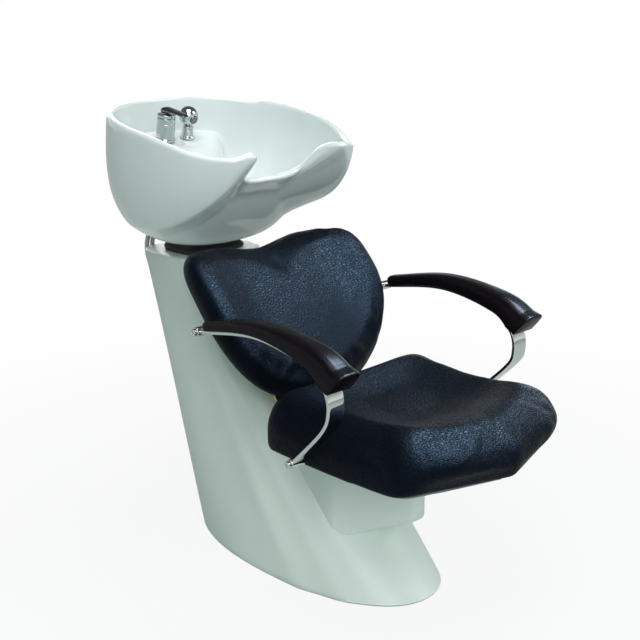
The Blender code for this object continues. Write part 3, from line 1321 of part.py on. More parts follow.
def make_spray(frame, chrome, dark, brass):
    """Hand spray with a ball head, standing in a conical guide."""
    place = (TAP_X, TAP_Y, 0)
    deck = DECK_LEVEL + SEAT_GAP
    top = deck + GUIDE_HEIGHT
    foot = DECK_LEVEL - MIXER_SHANK_LENGTH
    profile = [(GUIDE_SHANK_RADIUS, foot), (GUIDE_SHANK_RADIUS, deck), (GUIDE_BASE_RADIUS, deck),
               (GUIDE_BASE_RADIUS, deck + MIXER_FLANGE * 0.6), (GUIDE_TOP_RADIUS, top),
               (GUIDE_BORE_RADIUS, top), (GUIDE_BORE_RADIUS, foot)]
    add_object("spray_guide", turned("spray_guide", profile, closed=True), chrome, frame, place)
    roof = DECK_LEVEL - POCKET_ROOF - SEAT_GAP
    nut = hollow("spray_guide_nut", TAP_NUT_RADIUS, GUIDE_SHANK_RADIUS + SEAT_GAP,
                 roof - TAP_NUT, roof, 6)
    add_object("spray_guide_nut", nut, brass, frame, place)

    axis = add_axis("spray_axis", (TAP_X, TAP_Y, top + SEAT_GAP), parent=frame)
    ball = SPRAY_BALL_HEIGHT - GUIDE_HEIGHT
    reach = SPRAY_BALL_RADIUS
    polar = np.linspace(-0.72, 0.92, 9) * math.pi / 2
    profile = [(SPRAY_SHANK_RADIUS, -SPRAY_SHANK_LENGTH), (SPRAY_SHANK_RADIUS, 0),
               (SPRAY_COLLAR_RADIUS, 0), (SPRAY_COLLAR_RADIUS, SPRAY_COLLAR)]
    profile += [(reach * math.cos(p), ball + reach * math.sin(p)) for p in polar]
    head = add_object("spray_head", turned("spray_head", profile), chrome, axis)
    turn = (math.pi / 2 + SPRAY_FACE_PITCH, 0, 0)
    seat = turned("face_seat", [(SPRAY_FACE_RADIUS + SEAT_GAP, reach - SPRAY_FACE_DEPTH),
                                (SPRAY_FACE_RADIUS + SEAT_GAP, 2 * reach)])
    cut(head, add_object("face_seat", seat, parent=axis, place=(0, 0, ball), turn=turn))
    face = [(SPRAY_FACE_RADIUS, reach - SPRAY_FACE_DEPTH + SEAT_GAP),
            (SPRAY_FACE_RADIUS, reach), (SPRAY_FACE_RADIUS * 0.8, reach + SPRAY_FACE_DEPTH * 0.3)]
    add_object("spray_face", turned("spray_face", face), dark, axis, (0, 0, ball), turn)


# Supply hoses


def make_supply(hand, shift, frame, chrome, braid):
    """One stop valve on the right hand mast, and its hose up to the mixer's shank."""
    x = -(MAST_SPREAD + MAST_SIZE) / 2 - VALVE_RADIUS - SEAT_GAP
    y = mast_y(VALVE_HEIGHT) + shift
    valve = turned(f"stop_valve_{hand}", [(VALVE_RADIUS, -VALVE_LENGTH / 2),
                                          (VALVE_RADIUS, VALVE_LENGTH * 0.3),
                                          (HOSE_RADIUS * 1.3, VALVE_LENGTH * 0.34),
                                          (HOSE_RADIUS * 1.3, VALVE_LENGTH / 2)])
    add_object(f"stop_valve_{hand}", valve, chrome, place=(x, y, VALVE_HEIGHT))
    c, s = math.cos(TILT_REST), math.sin(TILT_REST)
    height = DECK_LEVEL - MIXER_SHANK_LENGTH - 2 * RUNNING_GAP
    tail_y = TILT_Y + TAP_Y * c - height * s
    tail_z = TILT_Z + TAP_Y * s + height * c
    side = 1 if shift > 0 else -1
    half = HOSE_PITCH / 2
    tail_x = -TAP_X + side * half * 0.8
    start = VALVE_HEIGHT + VALVE_LENGTH / 2 + 2 * RUNNING_GAP
    lane = x - half + side * half
    middle = mast_y(VALVE_HEIGHT)
    slot = (PANEL_TOP + OPENING_TOP) / 2
    gate = base_sides(slot)[1]
    bow = slot + HOSE_RISE
    off = HOSE_RADIUS + 2 * RUNNING_GAP
    rear_top = base_sides(BASE_HEIGHT)[1]
    shift_x = side * half
    knots = [(x, y, start), (x, y + RUNNING_GAP, start + HOSE_RISE),
             (lane, middle + HOSE_LEAD_IN / 2, start + 2.3 * HOSE_RISE),
             (lane, gate - HOSE_LEAD_IN, slot - HOSE_DROP_IN),
             (HOSE_LANE_SLOT + shift_x, gate - off, slot),
             (HOSE_LANE_WALL + shift_x, base_sides(bow)[1] + HOSE_BOW, bow),
             (HOSE_LANE_TOP + shift_x, rear_top + RUNNING_GAP, BASE_HEIGHT),
             (HOSE_LANE_TOP + shift_x, rear_top - 2.5 * off, BASE_HEIGHT + 6 * off),
             (HOSE_LANE_BOWL + shift_x, tail_y + RUNNING_GAP, tail_z - HOSE_UPPER_BEND),
             (tail_x, tail_y + HOSE_TAIL * s, tail_z - HOSE_TAIL * c), (tail_x, tail_y, tail_z)]
    points = smooth_path(knots, 34)
    curve = bpy.data.curves.new(f"supply_hose_{hand}", "CURVE")
    curve.dimensions = "3D"
    curve.bevel_depth = HOSE_RADIUS
    curve.bevel_resolution = 2
    curve.use_fill_caps = True
    spline = curve.splines.new("POLY")
    spline.points.add(len(points) - 1)
    for spot, point in zip(spline.points, points):
        spot.co = (*point, 1.0)
    hose = bpy.data.objects.new(f"supply_hose_{hand}", curve)
    curve.materials.append(braid)
    bpy.context.collection.objects.link(hose)


def main():
    clear_scene()
    white = finish("gelcoat_white", (0.82, 0.84, 0.81), 0.18)
    ceramic = finish("glazed_ceramic", (0.86, 0.88, 0.86), 0.08)
    chrome = finish("chrome", (0.80, 0.81, 0.83), 0.08, 1.0)
    steel = finish("frame_steel", (0.22, 0.23, 0.24), 0.45, 1.0)
    zinc = finish("yellow_zinc", (0.60, 0.46, 0.20), 0.35, 1.0)
    brass = finish("brass", (0.66, 0.52, 0.26), 0.30, 1.0)
    black = finish("black_paint", (0.02, 0.02, 0.02), 0.45)
    rubber = finish("black_rubber", (0.015, 0.015, 0.015), 0.70)
    leather = finish("navy_leather", (0.012, 0.015, 0.026), 0.38)
    pad_finish = finish("arm_pad_polish", (0.022, 0.012, 0.014), 0.22)
    board_finish = finish("painted_board", (0.30, 0.32, 0.33), 0.60)
    plastic = finish("white_plastic", (0.75, 0.75, 0.73), 0.40)
    blue = finish("index_blue", (0.03, 0.06, 0.45), 0.25)
    dark = finish("dark_chrome", (0.16, 0.16, 0.17), 0.15, 1.0)
    braid = finish("braided_steel", (0.55, 0.56, 0.57), 0.30, 1.0)

    shell, panel = make_base(white)
    make_panel_catch(panel, chrome)
    make_floor_plate(steel)
    make_masts(steel)
    top_plate = make_top_plate(steel)
    rails = list(make_seat_rails(shell, steel))
    seat_board = make_seat(board_finish, leather)
    make_seat_bolts(seat_board, rails, chrome)
    make_console(shell, white)

    back_frame = add_axis("back_frame", (0, BACK_FOOT_Y, BACK_FOOT_Z), (-BACK_LEAN, 0, 0))
    back_cushion, back_board = make_back(board_finish, leather, zinc, steel, back_frame, shell)
    make_arms(chrome, pad_finish, back_cushion, back_board, seat_board, back_frame)

    make_bracket(shell, top_plate, black, steel)
    make_tilt_pin(steel)
    make_boot(rubber)
    bowl_frame = add_axis("bowl_tilt_axis", (0, TILT_Y, TILT_Z), (TILT_REST, 0, 0))
    waste_hole, cradle_low = make_cradle(bowl_frame, black, rubber)
    make_bowl(bowl_frame, ceramic, waste_hole)
    make_waste(bowl_frame, cradle_low, chrome, rubber, plastic)
    make_mixer(bowl_frame, chrome, dark, blue, brass)
    make_spray(bowl_frame, chrome, dark, brass)
    for hand, shift in (("cold", HOSE_PITCH * 0.75), ("hot", -HOSE_PITCH * 0.75)):
        make_supply(hand, shift, bowl_frame, chrome, braid)
    bpy.context.view_layer.update()


main()
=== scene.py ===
"""Backwash chair: the visible surfaces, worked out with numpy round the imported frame."""

import json
import math

import bmesh
import bpy
import numpy as np
from bpy.props import FloatProperty, FloatVectorProperty, PointerProperty
from mathutils import Matrix, Vector

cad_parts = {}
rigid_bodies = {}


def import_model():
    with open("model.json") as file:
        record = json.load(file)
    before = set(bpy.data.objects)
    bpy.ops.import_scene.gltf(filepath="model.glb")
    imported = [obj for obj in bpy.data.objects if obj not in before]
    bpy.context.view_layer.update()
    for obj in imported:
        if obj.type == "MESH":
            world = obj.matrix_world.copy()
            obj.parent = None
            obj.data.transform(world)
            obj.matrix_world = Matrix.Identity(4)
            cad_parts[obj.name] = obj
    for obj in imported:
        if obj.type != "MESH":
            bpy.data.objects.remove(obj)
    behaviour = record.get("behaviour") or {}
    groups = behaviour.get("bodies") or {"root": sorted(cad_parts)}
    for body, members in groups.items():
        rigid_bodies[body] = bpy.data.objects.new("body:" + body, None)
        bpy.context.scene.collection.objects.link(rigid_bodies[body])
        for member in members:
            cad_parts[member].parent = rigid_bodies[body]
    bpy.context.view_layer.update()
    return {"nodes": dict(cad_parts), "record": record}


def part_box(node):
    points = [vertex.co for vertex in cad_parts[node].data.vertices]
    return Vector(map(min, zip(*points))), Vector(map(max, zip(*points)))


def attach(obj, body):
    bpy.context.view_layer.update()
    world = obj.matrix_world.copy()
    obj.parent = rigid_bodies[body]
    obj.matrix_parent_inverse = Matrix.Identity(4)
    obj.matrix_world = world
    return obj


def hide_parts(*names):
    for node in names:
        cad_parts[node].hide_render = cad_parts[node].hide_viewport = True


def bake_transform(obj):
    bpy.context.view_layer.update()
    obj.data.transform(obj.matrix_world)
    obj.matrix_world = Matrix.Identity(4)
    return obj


for leftover in list(bpy.data.objects):
    bpy.data.objects.remove(leftover)
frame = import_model()

bl_info = {
    "name": "Backwash chair dressing",
    "version": (1, 0, 0),
    "blender": (4, 5, 0),
    "location": "View3D > Sidebar > Backwash chair",
    "description": "Makes the glazed bowl, mouldings, pads, armrests and taps on the packed frame",
    "category": "Object",
}

# Sizes that the frame was built to, in metres

BASE_FRONT, BASE_REAR = -0.339, 0.403
BASE_TOP_FRONT, BASE_TOP_REAR = 0.345, 0.575
BASE_HALF, BASE_TOP_HALF = 0.186, 0.128
BASE_HEIGHT = 0.689
BASE_POWER, BASE_TOP_POWER = 2.15, 4.0
FRONT_HOLLOW, REAR_HOLLOW = 0.016, 0.022
OPENING_HALF = 0.090
OPENING_FLOOR, OPENING_TOP, PANEL_TOP = 0.130, 0.629, 0.584
SHELL_WALL = 0.009

TILT_Y, TILT_Z = 0.475, 0.709
TILT_REST = math.radians(9.0)

SEAT_BOARD_FOOT, SEAT_BOARD_TOP = 0.356, 0.374
BACK_FOOT_Y, BACK_FOOT_Z = -0.030, 0.437
BACK_LEAN = math.radians(40.0)

ARM_X = 0.291
ARM_FOOT_IN = 0.014
ARM_KNOTS = ((0.085, 0.604), (-0.113, 0.635), (-0.268, 0.614), (-0.328, 0.578),
             (-0.341, 0.530), (-0.318, 0.484), (-0.206, 0.376))

TAP_Y = 0.112
TAP_X = 0.035
DECK_LEVEL = 0.231

AXIS = 0.0002  # radius at which a turned profile starts and ends
REST_GAP = 0.0003  # between a piece and what it rests on


# Curves and surfaces


def ease(t):
    """0 to 1 along a smooth step of t."""
    t = np.clip(t, 0, 1)
    return t * t * (3 - 2 * t)


def fade(value, start, end):
    """1 up to start and 0 past end, on a smooth step between them."""
    return 1 - ease((value - start) / (end - start))


def hump(value, middle, spread):
    """A bell of height 1 at the middle."""
    return np.exp(-((value - middle) / spread) ** 2)


def soft_max(a, b, round_off):
    """The larger of two heights with the corner between them rounded off."""
    return 0.5 * (a + b + np.sqrt((a - b) ** 2 + round_off ** 2))


def smooth_path(knots, count):
    """Catmull-Rom curve through the knots: a cubic between each pair that leaves along the next."""
    knots = np.asarray(knots, float)
    ends = np.vstack([2 * knots[0] - knots[1], knots, 2 * knots[-1] - knots[-2]])
    place = np.linspace(0, len(knots) - 1, count)
    index = np.minimum(place.astype(int), len(knots) - 2)
    t = (place - index)[:, None]
    a, b, c, d = (ends[index + step] for step in range(4))
    return 0.5 * (2 * b + (c - a) * t + (2 * a - 5 * b + 4 * c - d) * t ** 2
                  + (3 * b - a - 3 * c + d) * t ** 3)


def superellipse(half_x, half_y, power, angle):
    """Rounded outline: each half axis times the cosine or sine raised to 2 over the power."""
    c, s = np.cos(angle), np.sin(angle)
    return (half_x * np.sign(c) * np.abs(c) ** (2 / power),
            half_y * np.sign(s) * np.abs(s) ** (2 / power))


def quads(rows, cols, wrap_rows=False, wrap_cols=True):
    """Corner numbers of a grid's quads, its points numbered row by row."""
    r = np.arange(rows if wrap_rows else rows - 1)[:, None]
    c = np.arange(cols if wrap_cols else cols - 1)[None, :]
    after = (r + 1) % rows
    beside = (c + 1) % cols
    corners = (r * cols + c, r * cols + beside, after * cols + beside, after * cols + c)
    return np.stack(corners, axis=-1).reshape(-1, 4)


def put_piece(name, points, faces, material, crease=40.0, recalc=True):
    """A mesh object at the origin from points and faces, shaded smooth but for sharp creases."""
    mesh = bpy.data.meshes.new(name)
    mesh.from_pydata(np.asarray(points).reshape(-1, 3).tolist(), [], [list(f) for f in faces])
    if recalc:
        work = bmesh.new()
        work.from_mesh(mesh)
        bmesh.ops.remove_doubles(work, verts=work.verts, dist=1e-6)
        bmesh.ops.recalc_face_normals(work, faces=work.faces)
        work.to_mesh(mesh)
        work.free()
    mesh.materials.append(material)
    mesh.shade_smooth()
    mesh.set_sharp_from_angle(angle=math.radians(crease))
    obj = bpy.data.objects.new(name, mesh)
    bpy.context.scene.collection.objects.link(obj)
    return obj


def loft_faces(rows, cols, start=0, ring=False):
    """Quads of a loft of closed rings and a cap on each end, or none if the loft is a ring."""
    faces = (quads(rows, cols, wrap_rows=ring) + start).tolist()
    if not ring:
        faces.append(list(range(start + cols - 1, start - 1, -1)))
        last = start + (rows - 1) * cols
        faces.append(list(range(last, last + cols)))
    return faces


def loft(name, grid, material, crease=40.0, ring=False):
    """Closed skin over a grid of rings, capped at both ends."""
    rows, cols = grid.shape[:2]
    return put_piece(name, grid, loft_faces(rows, cols, ring=ring), material, crease)


def bundle(name, grids, material, crease=40.0):
    """Several capped lofts in one piece."""
    points, faces, start = [], [], 0
    for grid in grids:
        rows, cols = grid.shape[:2]
        points.append(grid.reshape(-1, 3))
        faces += loft_faces(rows, cols, start)
        start += rows * cols
    return put_piece(name, np.concatenate(points), faces, material, crease)


def revolve(profile, origin, axis, sides=48):
    """Grid of a profile of (radius, height) pairs turned about an axis through the origin."""
    profile = np.asarray(profile, float)
    turn = Vector((0, 0, 1)).rotation_difference(Vector(axis)).to_matrix()
    angle = np.linspace(0, 2 * math.pi, sides, endpoint=False)
    ring = np.stack([np.cos(angle), np.sin(angle)], axis=-1)
    flat = np.empty((len(profile), sides, 3))
    flat[..., :2] = profile[:, None, :1] * ring[None]
    flat[..., 2] = profile[:, None, 1]
    return flat @ np.array(turn).T + np.array(origin)


def rounded(profile, radius, steps=4):
    """A profile whose inner corners are each replaced by a short curve: the quadratic curve that
    leaves one side and joins the other at the radius, or at under half of a shorter side."""
    profile = np.asarray(profile, float)
    before, here, after = profile[:-2], profile[1:-1], profile[2:]
    inward, outward = before - here, after - here
    reach_in = np.linalg.norm(inward, axis=1, keepdims=True)
    reach_out = np.linalg.norm(outward, axis=1, keepdims=True)
    a = here + inward * np.minimum(radius / reach_in, 0.45)
    b = here + outward * np.minimum(radius / reach_out, 0.45)
    t = np.linspace(0, 1, steps + 1)[None, :, None]
    bend = (1 - t) ** 2 * a[:, None] + 2 * t * (1 - t) * here[:, None] + t ** 2 * b[:, None]
    return np.vstack([profile[:1], bend.reshape(-1, 2), profile[-1:]])


TUBE_UP = (0.31, 0.124, 1.0)  # no hose runs along it


def tube(path, radius, sides=16):
    """Grid of rings round a path, square to it, with no twist from one ring to the next."""
    path = np.asarray(path, float)
    along = np.gradient(path, axis=0)
    along /= np.linalg.norm(along, axis=1)[:, None]
    side = np.cross(along, TUBE_UP)
    side /= np.linalg.norm(side, axis=1)[:, None]
    over = np.cross(side, along)
    angle = np.linspace(0, 2 * math.pi, sides, endpoint=False)
    return (path[:, None] + radius * (np.cos(angle)[None, :, None] * side[:, None]
                                      + np.sin(angle)[None, :, None] * over[:, None]))


def soften(obj, width, segments=3, angle=35.0):
    """Rounds the sharp edges of a piece."""
    bevel = obj.modifiers.new("Edges", "BEVEL")
    bevel.width = width
    bevel.segments = segments
    bevel.limit_method = "ANGLE"
    bevel.angle_limit = math.radians(angle)
    return obj


def settle(obj, body, slot, *nodes):
    """Rides the piece on its body and hides the frame nodes that it stands for. The slot is not
    used.
    """
    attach(obj, body)
    if nodes:
        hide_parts(*nodes)


# Finishes


class Nodes:
    """Adds nodes to a tree, with their sockets set or linked, and gives back one output of each."""

    def __init__(self, tree):
        self.tree = tree

    def fill(self, socket, value):
        """Links an output to the socket, or sets the socket's own value."""
        if isinstance(value, bpy.types.NodeSocket):
            self.tree.links.new(value, socket)
        else:
            socket.default_value = value

    def add(self, kind, output, sockets, **settings):
        """A node of a kind, with sockets by name or number, and one of its outputs."""
        node = self.tree.nodes.new("ShaderNode" + kind)
        for key, value in settings.items():
            setattr(node, key, value)
        for key, value in sockets.items():
            self.fill(node.inputs[key], value)
        return node.outputs[output]

    def math(self, kind, *values):
        """One sum of values or outputs."""
        return self.add("Math", "Value", dict(enumerate(values)), operation=kind)

    def noise(self, vector, scale, detail=3.0, roughness=0.5, distortion=0.0):
        """A cloudy pattern."""
        return self.add("TexNoise", "Fac", {"Vector": vector, "Scale": scale, "Detail": detail,
                                            "Roughness": roughness, "Distortion": distortion})

    def spread(self, value, low, high, start=0.3, end=0.7):
        """A pattern's middle range mapped to a low and a high value."""
        return self.add("MapRange", "Result", {"Value": value, "From Min": start, "From Max": end,
                                               "To Min": low, "To Max": high})

    def relief(self, height, strength, distance, normal=None):
        """A bump, on top of another where one is given."""
        sockets = {"Height": height, "Strength": strength, "Distance": distance}
        if normal is not None:
            sockets["Normal"] = normal
        return self.add("Bump", "Normal", sockets)


class Coating(Nodes):
    """A Principled material with Object coordinates ready for its patterns."""

    def __init__(self, name, colour, roughness, metallic=0.0, coat=0.0):
        self.material = bpy.data.materials.new(name)
        self.material.use_nodes = True
        super().__init__(self.material.node_tree)
        self.shader = self.tree.nodes["Principled BSDF"]
        self.colour = colour
        self.wear({"Base Color": (*colour, 1.0), "Roughness": roughness, "Metallic": metallic,
                   "Coat Weight": coat, "Coat Roughness": 0.05})
        coordinates = self.tree.nodes.new("ShaderNodeTexCoord")
        self.place, self.chart = coordinates.outputs["Object"], coordinates.outputs["UV"]

    def wear(self, sockets):
        """Sets or links sockets of the shader."""
        for key, value in sockets.items():
            self.fill(self.shader.inputs[key], value)

    def shades(self, pattern, dark, light, start=0.35, end=0.65):
        """Takes the base colour from a darker to a lighter shade along a pattern's middle range."""
        ramp = self.tree.nodes.new("ShaderNodeValToRGB")
        self.fill(ramp.inputs["Fac"], pattern)
        for stop, position, factor in zip(ramp.color_ramp.elements, (start, end), (dark, light)):
            stop.position = position
            stop.color = (*(channel * factor for channel in self.colour), 1.0)
        self.wear({"Base Color": ramp.outputs["Color"]})

    def stretched(self, scale):
        """Object coordinates stretched along the axes."""
        return self.add("Mapping", "Vector", {"Vector": self.place, "Scale": scale})


def glossy_white(name, colour, roughness, wave, coat):
    """Glaze or gelcoat: a faint cloud in the colour, uneven gloss and a slow ripple."""
    made = Coating(name, colour, roughness, coat=coat)
    made.shades(made.noise(made.place, 5.0), 0.965, 1.0)
    smear = made.noise(made.place, 24.0, 4.0)
    ripple = made.relief(made.noise(made.place, 9.0, 2.0), 0.10, wave)
    orange_peel = made.noise(made.place, 420.0, 1.0)
    made.wear({"Roughness": made.spread(smear, roughness * 0.8, roughness * 1.35),
               "Normal": made.relief(orange_peel, 0.03, 0.0002, ripple)})
    return made.material


def leather(name, colour, stretch):
    """Pebbled leather: small cells stretched into short wrinkles that shine less along their
    edges, with soft creases over them."""
    made = Coating(name, colour, 0.34)
    made.wear({"IOR": 1.15, "Specular Tint": (0.48, 0.74, 1.0, 1.0)})
    vector = made.stretched(stretch)
    warp = made.add("TexNoise", "Color", {"Vector": vector, "Scale": 70.0, "Detail": 2.0})
    pushed = made.add("VectorMath", "Vector", {0: warp, 1: (0.010, 0.010, 0.010), 2: vector},
                      operation="MULTIPLY_ADD")
    cells = made.add("TexVoronoi", "Distance", {"Vector": pushed, "Scale": 125.0},
                     feature="DISTANCE_TO_EDGE")
    pebble = made.spread(cells, 0.0, 1.0, 0.0, 0.22)
    crease = made.relief(made.noise(vector, 60.0, 4.0, 0.6, 1.0), 0.18, 0.0030)
    made.shades(made.noise(made.place, 11.0), 0.8, 1.2)
    made.wear({"Roughness": made.spread(pebble, 0.48, 0.35, 0.0, 1.0),
               "Specular IOR Level": made.spread(pebble, 0.24, 0.58, 0.0, 1.0),
               "Normal": made.relief(pebble, 0.38, 0.0014, crease)})
    return made.material


def polished_metal(name, colour, roughness):
    """Chrome or plated metal: wiped gloss and hair scratches."""
    made = Coating(name, colour, roughness, metallic=1.0)
    smear = made.noise(made.place, 38.0, 4.0)
    hair = made.noise(made.stretched((60.0, 900.0, 60.0)), 3.0, 2.0)
    made.wear({"Roughness": made.spread(smear, roughness * 0.6, roughness * 1.8),
               "Normal": made.relief(hair, 0.02, 0.0002)})
    return made.material


def polished_wood(name, colour):
    """Dark lacquered armrest: brown grain under a wiped gloss."""
    made = Coating(name, colour, 0.28)
    grain = made.noise(made.stretched((9.0, 1.0, 9.0)), 14.0, 5.0, 0.55, 0.6)
    made.shades(grain, 0.55, 1.5, 0.3, 0.75)
    made.wear({"IOR": 1.18, "Specular Tint": (0.78, 0.80, 1.0, 1.0),
               "Roughness": made.spread(made.noise(made.place, 30.0), 0.26, 0.32),
               "Normal": made.relief(grain, 0.04, 0.0004)})
    return made.material


def mottled(name, colour, metallic, tone, shades, gloss, tooth):
    """A mottled tone with uneven gloss. The tone is a noise's scale, detail and roughness, and the
    tooth a finer noise's scale with the strength and depth of its relief."""
    made = Coating(name, colour, gloss[0], metallic)
    pattern = made.noise(made.place, *tone)
    made.shades(pattern, *shades)
    scale, strength, depth = tooth
    made.wear({"Roughness": made.spread(pattern, *gloss),
               "Normal": made.relief(made.noise(made.place, scale, 2.0), strength, depth)})
    return made.material


def satin_metal(name, colour, roughness, metallic=1.0):
    """Painted, plated or bare steel inside the base."""
    return mottled(name, colour, metallic, (30.0, 5.0, 0.6), (0.78, 1.12),
                   (roughness * 0.8, min(roughness * 1.3, 1.0)), (700.0, 0.10, 0.0003))


def black_rubber(name, colour):
    """Moulded rubber with dust on it."""
    return mottled(name, colour, 0.0, (26.0, 4.0), (0.8, 1.7), (0.52, 0.72),
                   (900.0, 0.12, 0.0003))


def painted_board(name, colour):
    """Painted plywood with a faint roller texture, or plain plastic."""
    return mottled(name, colour, 0.0, (22.0, 4.0), (0.85, 1.1), (0.48, 0.65),
                   (260.0, 0.15, 0.0004))


def braided_hose(name, colour):
    """Steel braid: two sets of slanting ribs on the hose's own map, crossing each other."""
    made = Coating(name, colour, 0.32, metallic=1.0)
    split = made.tree.nodes.new("ShaderNodeSeparateXYZ")
    made.fill(split.inputs["Vector"], made.chart)
    ribs = []
    for kind in ("ADD", "SUBTRACT"):
        slant = made.math(kind, split.outputs["X"], split.outputs["Y"])
        ribs.append(made.math("SINE", made.math("MULTIPLY", slant, 2 * math.pi)))
    weave = made.math("MAXIMUM", *ribs)
    # Painted shade: the colour falls to 0.22 of the steel in the grooves between the ribs.
    made.shades(weave, 0.22, 1.0, 0.0, 0.8)
    made.wear({"Normal": made.relief(weave, 0.5, 0.0006)})
    return made.material


FINISHES = {}


def finish(name):
    """The chair's finishes by their record slot, each made once."""
    if name not in FINISHES:
        tones = bpy.context.scene.chair_tones
        makers = {
            "glazed_ceramic": lambda: glossy_white("white_glaze", tones.glaze, 0.14, 0.0012, 0.5),
            "gelcoat_white": lambda: glossy_white("white_gelcoat", tones.gelcoat, 0.36, 0.0018,
                                                  0.0),
            "navy_leather": lambda: leather("navy_leather", tones.leather, (1.0, 1.0, 2.2)),
            "chrome": lambda: polished_metal("bright_chrome", tones.chrome, 0.07),
            "dark_chrome": lambda: polished_metal("dark_chrome", tones.dark_chrome, 0.12),
            "arm_pad_polish": lambda: polished_wood("arm_pad_polish", tones.arm_pad),
            "black_rubber": lambda: black_rubber("black_rubber", tones.rubber),
            "black_paint": lambda: satin_metal("black_paint", tones.rubber, 0.45, 0.0),
            "frame_steel": lambda: satin_metal("frame_steel", tones.steel, 0.45),
            "yellow_zinc": lambda: satin_metal("yellow_zinc", tones.zinc, 0.34),
            "brass": lambda: satin_metal("brass", tones.brass, 0.30),
            "braided_steel": lambda: braided_hose("braided_steel", tones.braid),
            "painted_board": lambda: painted_board("painted_board", tones.board),
            "white_plastic": lambda: painted_board("white_plastic", tones.plastic),
            "index_blue": lambda: glossy_white("index_blue", tones.index, 0.15, 0.0002, 0.5),
        }
        FINISHES[name] = makers[name]()
    return FINISHES[name]


def dress(name, grid, body, slot, node, crease=40.0, ring=False):
    """A loft in the finish of its slot, which stands for a frame node on a body."""
    settle(loft(name, grid, finish(slot), crease, ring), body, slot, node)


# Bowl: in its own frame the tilt axis is the origin and the rim is level

BOWL_HALF, HORN_REACH, REAR_REACH = 0.275, 0.343, 0.275
BOWL_CENTRE, BOWL_RIM, BOWL_FOOT = -0.070, 0.321, 0.025
BOWL_WALL = 0.016
BELLY_HALF, BELLY_REACH, BELLY_RIM = 0.243, 0.153, 0.235
FOOT_HALF, FOOT_LENGTH, FOOT_Y = 0.085, 0.075, -0.037
DECK_FRONT, DECK_CURVE, DECK_SLOPE, DECK_FALL = 0.040, 3.5, 1.1, 60.0
WASTE_Y, WASTE_HOLE = -0.045, 0.0190
DECK_EDGE_ROUND, DECK_FOOT_ROUND, DECK_EASE = 0.022, 0.016, 0.0006
OVAL_FRONT_POWER, OVAL_REAR_POWER = 2.2, 2.1
WALL_POWER, WALL_BLUNTER, WALL_REAR = 1.6, 1.3, 110.0
SCOOP_LOW, SCOOP_RISE, SCOOP_RUN, SCOOP_ROUND = 0.90, 0.88, 26.5, 0.05
SCOOP_BAND, SCOOP_NARROWER = 0.30, 0.17
SCOOP_END = (60.0, 140.0)
LIP_FULL = 1.1
HORN_TURN = 27.5
WING_SAG, WING_SAG_TURN, WING_SAG_WIDTH = 0.016, 46.0, 18.0
# Steps of the rim's height: rise, start and run, the last two in degrees
RIM_STEPS = ((-0.006, 110.0, 70.0), (-0.008, 117.0, 7.0), (0.004, 126.0, 14.0))
MIRRORED = (-1, 1, 1, -1)  # X and turn change sign on the other half of the rim
# The neck rest and one horn: X, Y and height of the rim, and its turn in degrees round the foot
RIM_OUTSIDE = ((0.000, -0.256, 0.226, 0.0), (0.036, -0.257, 0.226, 8.0),
               (0.066, -0.259, 0.230, 15.0), (0.085, -0.265, 0.242, 20.0),
               (0.096, -0.279, 0.267, 23.0), (0.104, -0.301, 0.296, 25.0),
               (0.115, -0.333, 0.315, 26.2), (0.134, -0.359, 0.322, HORN_TURN),
               (0.156, -0.353, 0.320, 30.0))
RIM_INSIDE = ((0.000, -0.236, 0.226, 0.0), (0.038, -0.237, 0.226, 8.0),
              (0.072, -0.240, 0.231, 15.0), (0.098, -0.248, 0.245, 20.0),
              (0.113, -0.265, 0.271, 23.0), (0.121, -0.288, 0.298, 25.0),
              (0.128, -0.312, 0.314, 26.2), (0.138, -0.332, 0.319, HORN_TURN),
              (0.152, -0.332, 0.318, 30.0))
RIM_TURNS = (34, 39, 45, 53, 62, 72, 83, 94, 105, 113, 118, 122, 127, 134, 144, 156, 168, 180)


def tilted(points):
    """Points of the bowl's frame turned back by its rest tilt and set on the tilt axis."""
    c, s = math.cos(TILT_REST), math.sin(TILT_REST)
    out = np.empty_like(points)
    out[..., 0] = points[..., 0]
    out[..., 1] = TILT_Y + points[..., 1] * c - points[..., 2] * s
    out[..., 2] = TILT_Z + points[..., 1] * s + points[..., 2] * c
    return out


def tilted_axis():
    """Direction of the bowl's own Z at rest."""
    return (0.0, -math.sin(TILT_REST), math.cos(TILT_REST))


def oval_radius(turn, half, reach, rear):
    """Radius of an oval made of two half superellipses, by plan angle from the neck."""
    c, s = np.cos(np.radians(turn)), np.sin(np.radians(turn))
    power = np.where(c > 0, OVAL_FRONT_POWER, OVAL_REAR_POWER)
    return (np.abs(s / half) ** power
            + np.abs(c / np.where(c > 0, reach, rear)) ** power) ** (-1 / power)


def bowl_rim(wall, count):
    """Half of the rim from the neck to the rear, as X, Y, height and turn: a smooth curve through
    the neck's and horn's own points and then round the oval, which sags along the wing and has a
    small step where the wing meets the rear."""
    turn = np.array(RIM_TURNS, float)
    radius = oval_radius(turn, BOWL_HALF - wall, HORN_REACH - wall, REAR_REACH - wall)
    height = BOWL_RIM - WING_SAG * hump(turn, WING_SAG_TURN, WING_SAG_WIDTH)
    for rise, start, run in RIM_STEPS:
        height = height + rise * ease((turn - start) / run)
    oval = np.column_stack([radius * np.sin(np.radians(turn)),
                            BOWL_CENTRE - radius * np.cos(np.radians(turn)), height, turn])
    knots = np.vstack([RIM_INSIDE if wall else RIM_OUTSIDE, oval])
    before = knots[1] * MIRRORED
    after = knots[-2] * MIRRORED + (0, 0, 0, 360)
    steps = len(knots) - 1
    whole = smooth_path(np.vstack([before, knots, after]), (steps + 2) * count + 1)
    return whole[count:-count]


